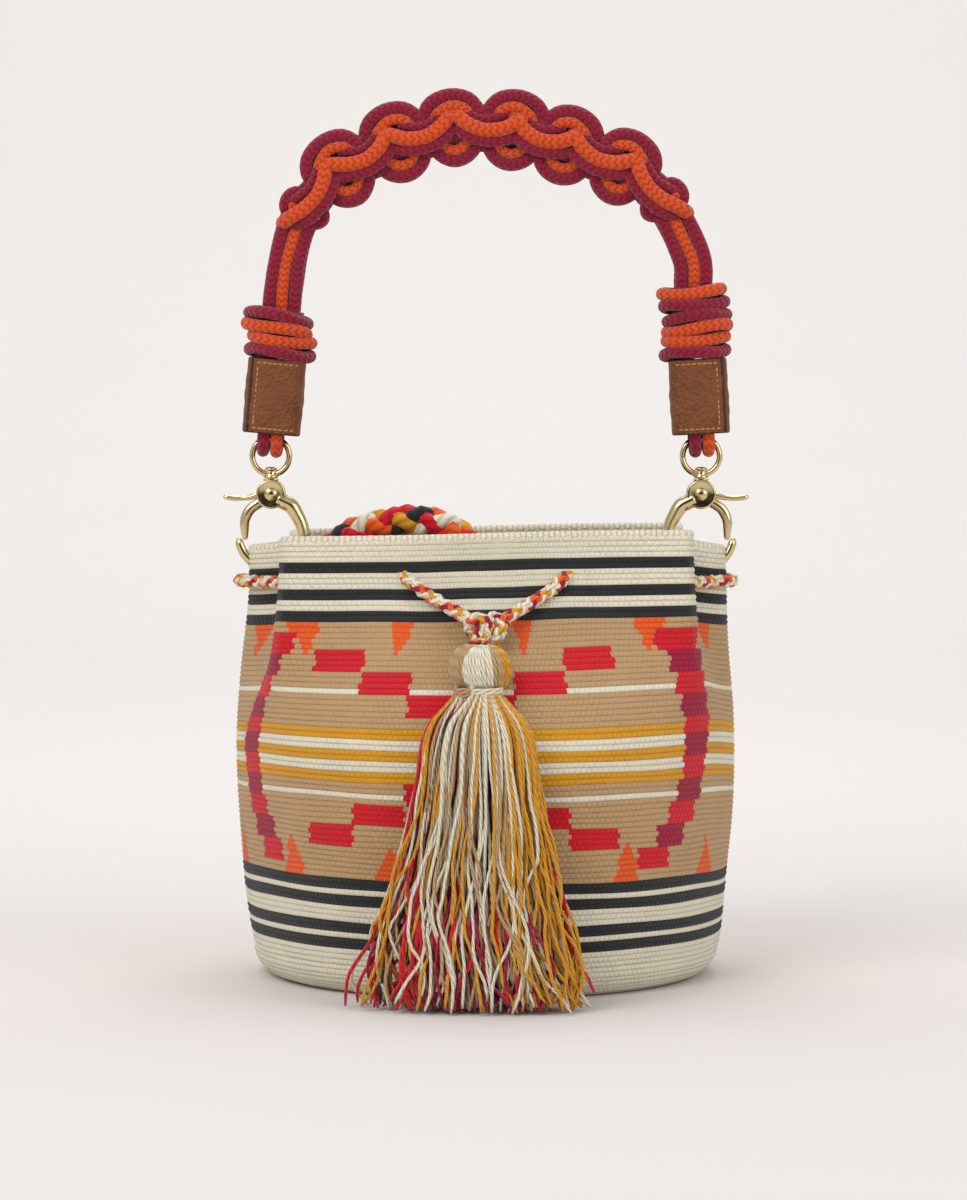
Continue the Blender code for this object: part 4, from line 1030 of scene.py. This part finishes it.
def makeEndKnot(word, matrix, order, tilt):
    """Doubled rope wound tight above the sleeve, one flattened ring for each pass."""
    bottom = handle["sleeveLift"] + handle["sleeveLength"] + handle["gap"]
    pitch = handle["knotTurn"] / 2
    turn = np.linspace(0, 2 * math.pi, 57)[:-1]
    parts = []
    for index, name in enumerate(order):
        reach = handle["knotReach"] - 2.45 * mm - 0.35 * mm * (index % 2)
        height = bottom + pitch * (index + 0.5)
        pair = index // 2
        lean = tilt * (1.6 if pair % 2 else 0.7) * np.cos(turn) + 0.7 * mm * np.sin(2 * turn + 1.7 * index)
        shift = (0.9 if pair % 2 else -0.7) * np.sign(tilt) * mm
        bulge = reach * (1 + 0.05 * np.sin(3 * turn + 2 * index))
        ring = np.stack([bulge * np.cos(turn) + shift, handle["knotFlat"] * bulge * np.sin(turn), height + lean], axis=-1)
        parts.append(tubePart(inFrame(matrix, ring), 2.5 * mm, 0 if name == "crimson" else 1, 14, closed=True))
    core = lathePart([(0, bottom), (9 * mm, bottom), (9 * mm, bottom + pitch * len(order)), (0, bottom + pitch * len(order))], 0)
    parts.append(moved(core, matrix))
    buildPiece(word + "_wound_knot", parts, [rope["crimson"], rope["orange"]], "handle",
               [word + "_end_knot"])
    top = bottom + pitch * len(order) + 0.8 * mm
    return inFrame(matrix, [(0, 0, top), (0, 0, top + handle["knotTurn"])])


grip = {
    "middle": [(-0.0785, 0.0740), (-0.0735, 0.0885), (-0.0660, 0.0990), (-0.0564, 0.1070),
               (-0.0450, 0.1128), (-0.0344, 0.1172), (-0.0240, 0.1205), (-0.0144, 0.1226),
               (-0.0020, 0.1232), (0.0096, 0.1220), (0.0205, 0.1195), (0.0316, 0.1160),
               (0.0430, 0.1122), (0.0536, 0.1075), (0.0630, 0.1020), (0.0710, 0.0940), (0.0765, 0.0840)],
    "knotsAt": [-0.0575, -0.0352, -0.0135, 0.0105, 0.0325, 0.0540],
    "outerArc": [(-10.6, -2.5, 1.5), (-11.0, 3.5, -1.5), (-9.9, 8.3, -3.2), (-6.2, 12.3, -3.6), (0.0, 13.9, -3.2),
                 (6.2, 12.3, -3.2), (9.9, 8.0, -3.6), (11.2, 3.0, -3.6), (10.4, -2.0, -0.5)],
    "innerArc": [(-6.2, -1.5, 0.5), (-6.6, 3.0, -3.0), (-5.6, 6.6, -4.2), (0.0, 9.3, -4.2), (5.2, 7.6, -4.2),
                 (7.2, 3.6, -3.6), (6.8, -1.0, 0.0)],
    "outerLoop": [(-9.9, 2.5, 0.5), (-10.2, -3.5, -1.0), (-8.6, -8.6, -2.2), (-4.9, -11.8, -2.6), (0.0, -13.0, -2.6),
                  (4.9, -11.8, -2.6), (8.6, -8.6, -2.6), (10.4, -3.0, -1.6), (9.8, 2.5, 0.5)],
    "innerLoop": [(-5.4, 1.0, 0.5), (-5.8, -4.0, -2.6), (-4.0, -7.4, -3.4), (0.0, -8.9, -3.6), (4.0, -7.4, -3.4),
                  (5.8, -4.0, -2.8), (5.4, 1.0, 0.5)],
    "bar": [(-4.6, 5.0, 1.0), (-3.6, 5.4, -3.0), (-1.0, 3.6, -6.2), (4.0, 0.2, -7.7), (11.0, -1.2, -7.6),
            (17.0, 0.6, -7.4), (20.5, 3.2, -6.2), (22.4, 5.4, -3.0), (23.4, 5.0, 1.0)],
    "filling": 7.0,
    "underBar": [(-4.0, 1.2, -2.6), (0.0, -2.6, -5.2), (5.0, -4.8, -6.6), (11.5, -5.4, -6.6), (18.0, -3.9, -6.2),
                 (22.0, -0.6, -4.6), (23.8, 2.6, -2.0)],
    "overBar": [(3.5, 6.6, -3.0), (7.5, 4.2, -5.2), (12.0, 3.0, -5.6), (16.5, 4.6, -5.0), (20.0, 7.2, -3.0)],
}


def gripRoute(left, right):
    upper = [(x, 0, handle["ringTop"] + rise) for x, rise in grip["middle"]]
    return smoothRoute(list(left) + upper + list(right)[::-1], 1.0 * mm)


class GripLine:
    def __init__(self, route):
        self.route = route
        self.lengths = lengthsAlong(route)
        heading = unit(np.gradient(route, axis=0))
        self.heading = heading
        self.outward = np.stack([-heading[:, 2], np.zeros(len(route)), heading[:, 0]], axis=-1)

    def at(self, distance):
        """Point, heading and outward direction, run on straight past either end."""
        inside = np.clip(distance, 0, self.lengths[-1])
        point, heading, outward = [np.stack([np.interp(inside, self.lengths, values[:, axis]) for axis in range(3)],
                                            axis=-1) for values in (self.route, self.heading, self.outward)]
        return point + heading * np.expand_dims(distance - inside, -1), unit(heading), unit(outward)

    def place(self, start, shape, mirror=1, back=1):
        """Millimetres along, outwards and to the front, laid on the curved line."""
        shape = smoothRoute(np.array(shape, float) * mm, 0.9 * mm)
        point, heading, outward = self.at(start + mirror * shape[:, 0])
        return point + outward * shape[:, 1:2] + np.array([0, 1, 0]) * back * shape[:, 2:3]

    def where(self, x):
        top = np.argmin(np.abs(self.route[:, 0] - x) + (self.route[:, 2] < 0.30) * 1.0)
        return self.lengths[top]


def makeGrip(left, right):
    line = GripLine(gripRoute(left, right))
    total = line.lengths[-1]
    knots = [line.where(x) for x in grip["knotsAt"]]
    parts = []
    steps = np.arange(-0.004, total + 0.004, 2.2 * mm)
    point, heading, outward = line.at(steps)
    squeeze = 1 - 0.35 * smoothStep((steps - knots[0] + 0.02) / 0.02) * smoothStep((knots[-1] + 0.02 - steps) / 0.02)
    for index, offset in enumerate((-4.9, 0.0, 4.9)):
        for depth in (-2.3, 2.3):
            wave = 0.25 * mm * np.sin(steps * 170 + index * 2 + depth)
            cord = point + outward * (offset * mm * squeeze + wave)[:, None] + np.array([0, 1, 0]) * depth * mm
            parts.append(tubePart(cord, 2.65 * mm, 1 if index == 1 else 0, 10))
    steps = np.arange(knots[0] - 0.006, knots[-1] + 0.006, 2.2 * mm)
    point, heading, outward = line.at(steps)
    for offset in (-grip["filling"], grip["filling"]):
        parts.append(tubePart(point + outward * offset * mm, 2.5 * mm, 0, 10))
    for number, start in enumerate(knots):
        lean = 1 if number < 3 else -1
        for back in (1, -1):
            scale = 1.0 + 0.03 * math.sin(2.3 * number)
            for shape, radius, slot in (("outerArc", 2.65, 0), ("innerArc", 2.25, 1), ("outerLoop", 2.45, 0), ("innerLoop", 2.1, 1)):
                points = np.array(grip[shape]) * np.array([scale, scale, 1.0])
                parts.append(tubePart(line.place(start, points, lean * back, back), radius * mm, slot, 12))
    spans = [(knots[0] - 0.0255, 1)] + [(start, 1) for start in knots[:2]] + [(start, -1) for start in knots[3:]]
    spans += [(knots[-1] + 0.0255, -1)]
    for start, way in spans:
        for back in (1, -1):
            for shape, radius, slot in (("bar", 3.0, 1), ("underBar", 2.35, 0), ("overBar", 2.1, 0)):
                parts.append(tubePart(line.place(start, grip[shape], way, back), radius * mm, slot, 12))
    for start, way in ((knots[0] - 0.021, 1), (knots[-1] + 0.021, -1)):
        for back in (1, -1):
            for shape, share, slot in (("outerArc", 0.62, 0), ("innerArc", 0.55, 1), ("outerLoop", 0.66, 0), ("innerLoop", 0.6, 1)):
                points = np.array(grip[shape]) * np.array([share * 0.75, share, 0.9])
                parts.append(tubePart(line.place(start, points, way * back, back), 2.1 * mm, slot, 10))
    buildPiece("knotted_rope_grip", parts, [rope["crimson"], rope["orange"]], "handle", ["knotted_grip"])


def makeHandle():
    tops = []
    for word, side, order, tilt in (("left", -1, ["crimson", "orange", "orange", "crimson"], -0.9 * mm),
                                    ("right", 1, ["crimson", "orange", "orange", "crimson", "crimson", "orange"], 0.5 * mm)):
        matrix = endFrame(side)
        makeLoops(word, matrix)
        makeSleeve(word, matrix, side)
        tops.append(makeEndKnot(word, matrix, order, tilt))
    makeGrip(*tops)


makeHandle()
print("handle")


# Clasps: points are outwards from the clasp's own upright axis, mirrored by the side

clasp = {
    "reach": 0.0860, "hookCentre": 0.175, "hookRadius": 13 * mm, "tipTurn": 355, "rivet": 0.1914,
    "bodyBottom": 0.1865, "bodyTop": 0.1955, "collarTop": 0.1974, "bossHeight": 2.9 * mm,
    "ringCentre": 0.2066, "ringRadius": 7.4 * mm, "ringWire": 1.2 * mm, "gap": 0.3 * mm, "spurReach": 19 * mm,
    "discRadius": 5.9 * mm, "cheekFace": 2.75 * mm, "slotHalf": 1.35 * mm,
}


def claspLine(side, points, spacing=0.7 * mm):
    return smoothRoute([(side * (clasp["reach"] + out), depth, height) for out, depth, height in points], spacing)


def facingY(side, height, depth):
    """Stands a lathe form on its side, its local +Z towards the front."""
    return Matrix.Translation((side * clasp["reach"], depth, height)) @ Matrix.Rotation(math.pi / 2, 4, "X")


def upright(side, height):
    return Matrix.Translation((side * clasp["reach"], 0, height))


def cheek(inner, outer, radius):
    """One side plate of the body, its rim rounded over."""
    edge = 0.7 * mm
    profile = [(0, inner), (radius - 0.2 * mm, inner), (radius, inner + 0.3 * mm), (radius, outer - edge)]
    for step in range(1, 6):
        bend = math.pi / 2 * step / 5
        profile.append((radius - edge + edge * math.cos(bend), outer - edge + edge * math.sin(bend)))
    return profile + [(radius - 1.3 * mm, outer - 0.15 * mm), (0, outer - 0.15 * mm)]


def makeHook(word, side):
    parts = []
    for inner, outer in ((clasp["slotHalf"], clasp["cheekFace"]), (-clasp["slotHalf"], -clasp["cheekFace"])):
        way = 1 if inner > 0 else -1
        profile = cheek(abs(inner), abs(outer), clasp["discRadius"])
        matrix = Matrix.Translation((side * clasp["reach"], 0, clasp["rivet"])) @ Matrix.Rotation(way * math.pi / 2, 4, "X")
        parts.append(moved(lathePart(profile, 0, 56), matrix))
    shoulder = [(4.2 * mm, -6.2 * mm), (4.6 * mm, -4.4 * mm), (3.9 * mm, -2.6 * mm), (3.2 * mm, -1.5 * mm),
                (2.9 * mm, -0.5 * mm), (3.3 * mm, -0.15 * mm), (3.1 * mm, 0.0), (1.7 * mm, 0.0)]
    neck = lathePart([(reach, clasp["collarTop"] + height) for reach, height in shoulder], 0, 40)
    neck["points"] = neck["points"] * np.array([1.0, 0.62, 1.0])
    parts.append(moved(neck, Matrix.Translation((side * clasp["reach"], 0, 0))))
    arm = [(-2.6 * mm, 0, 0.1895), (-5.6 * mm, 0, 0.1880), (-8.2 * mm, 0, 0.1865), (-10.6 * mm, 0, 0.1826),
           (-12.3 * mm, 0, 0.1790)]
    for step in range(0, 13):
        bend = math.radians(180 + (clasp["tipTurn"] - 180) * step / 12)
        arm.append((clasp["hookRadius"] * math.cos(bend), 0, clasp["hookCentre"] + clasp["hookRadius"] * math.sin(bend)))
    line = claspLine(side, arm)
    share = np.linspace(0, 1, len(line))
    thick = np.interp(share, [0, 0.12, 0.3, 0.6, 0.85, 0.97, 1], [3.2, 3.1, 2.5, 2.15, 2.05, 1.7, 0.8]) * mm
    parts.append(tubePart(line, thick, 0, 18, 0.95))
    buildPiece(word + "_cast_hook", parts, [gold], word + "_clasp", [word + "_hook"])


def makeTrigger(word, side):
    spur = [(1.0 * mm, 0, clasp["rivet"] - 0.2 * mm), (5.7 * mm, 0, clasp["rivet"] - 0.6 * mm),
            (9.5 * mm, 0, clasp["rivet"] - 1.4 * mm), (14.5 * mm, 0, clasp["rivet"] - 1.7 * mm),
            (clasp["spurReach"], 0, clasp["rivet"] - 1.0 * mm)]
    gate = [(0.8 * mm, 0, clasp["rivet"] - 0.8 * mm), (4.2 * mm, 0, clasp["rivet"] - 3.2 * mm),
            (8.2 * mm, 0, clasp["rivet"] - 6.0 * mm), (10.4 * mm, 0, clasp["rivet"] - 10.2 * mm),
            (10.5 * mm, 0, 0.1762), (10.3 * mm, 0, 0.1732)]
    parts = []
    line = claspLine(side, spur, 0.5 * mm)
    share = np.linspace(0, 1, len(line))
    parts.append(tubePart(line, np.interp(share, [0, 0.35, 0.6, 0.93, 1], [1.25, 1.25, 1.0, 1.1, 0.6]) * mm, 0, 16))
    line = claspLine(side, gate, 0.5 * mm)
    share = np.linspace(0, 1, len(line))
    parts.append(tubePart(line, np.interp(share, [0, 0.3, 0.55, 0.8, 0.95, 1], [2.0, 2.1, 2.1, 1.7, 1.25, 0.7]) * mm, 0, 16, 0.62))
    hub = [(1.2 * mm, -1.1 * mm), (2.6 * mm, -1.1 * mm), (2.9 * mm, -0.8 * mm), (2.9 * mm, 0.8 * mm), (2.6 * mm, 1.1 * mm), (1.2 * mm, 1.1 * mm)]
    parts.append(moved(lathePart(hub, 0, 40), facingY(side, clasp["rivet"], 0)))
    buildPiece(word + "_spring_gate", parts, [gold], word + "_gate", [word + "_trigger"])


def makeRivet(word, side):
    face = clasp["cheekFace"] - 0.15 * mm
    dome = [(2.6 * mm * math.cos(bend), face + 1.15 * mm * math.sin(bend)) for bend in np.linspace(0, math.pi / 2, 9)]
    profile = [(0.0, -face - 1.1 * mm)] + [(reach, -height) for reach, height in dome[::-1]]
    profile += [(1.0 * mm, -face), (1.0 * mm, face)] + dome
    buildPiece(word + "_domed_rivet", [moved(lathePart(profile, 0, 40), facingY(side, clasp["rivet"], 0))], [gold],
               word + "_clasp", [word + "_rivet"])


def makeRing(word, side):
    turn = np.linspace(0, 2 * math.pi, 73)[:-1]
    ring = np.stack([side * clasp["reach"] + clasp["ringRadius"] * np.cos(turn), np.zeros(72),
                     clasp["ringCentre"] + clasp["ringRadius"] * np.sin(turn)], axis=-1)
    low = clasp["collarTop"] + clasp["gap"]
    high = low + clasp["bossHeight"]
    boss = [(1.6 * mm, low), (2.7 * mm, low), (3.1 * mm, low + 0.5 * mm), (2.6 * mm, low + 1.2 * mm),
            (2.2 * mm, low + 1.9 * mm), (2.5 * mm, high - 0.2 * mm), (2.3 * mm, high), (1.6 * mm, high), (1.6 * mm, low)]
    parts = [tubePart(ring, clasp["ringWire"], 0, 18, closed=True), moved(lathePart(boss, 0, 40), upright(side, 0))]
    buildPiece(word + "_ring_and_boss", parts, [gold], word + "_ring", [word + "_swivel_eye"])
    head = high + 0.3 * mm
    dome = [(2.6 * mm * math.cos(bend), head + 0.5 * mm + 1.1 * mm * math.sin(bend)) for bend in np.linspace(0, math.pi / 2, 8)]
    stem = [(1.3 * mm, 0.1957), (1.3 * mm, head), (2.4 * mm, head), (2.6 * mm, head + 0.5 * mm)] + dome[1:]
    buildPiece(word + "_swivel_pin", [moved(lathePart(stem, 0, 40), upright(side, 0))], [gold], word + "_clasp",
               [word + "_swivel_post"])


def makeSpring(word, side):
    """A bent leaf behind the trigger's hub."""
    out = -3.3 * mm
    leaf = [(out, 0, 0.1932), (out - 0.05 * mm, 0, 0.1915), (out, 0, 0.1890), (out + 0.15 * mm, 0, 0.1880)]
    part = tubePart(claspLine(side, leaf), 0.25 * mm, 0, 8, 3.0)
    buildPiece(word + "_leaf_spring", [part], [gold], word + "_clasp", [word + "_trigger_spring"])


for word, side in (("left", -1), ("right", 1)):
    makeHook(word, side)
    makeTrigger(word, side)
    makeRivet(word, side)
    makeRing(word, side)
    makeSpring(word, side)
print("clasps")
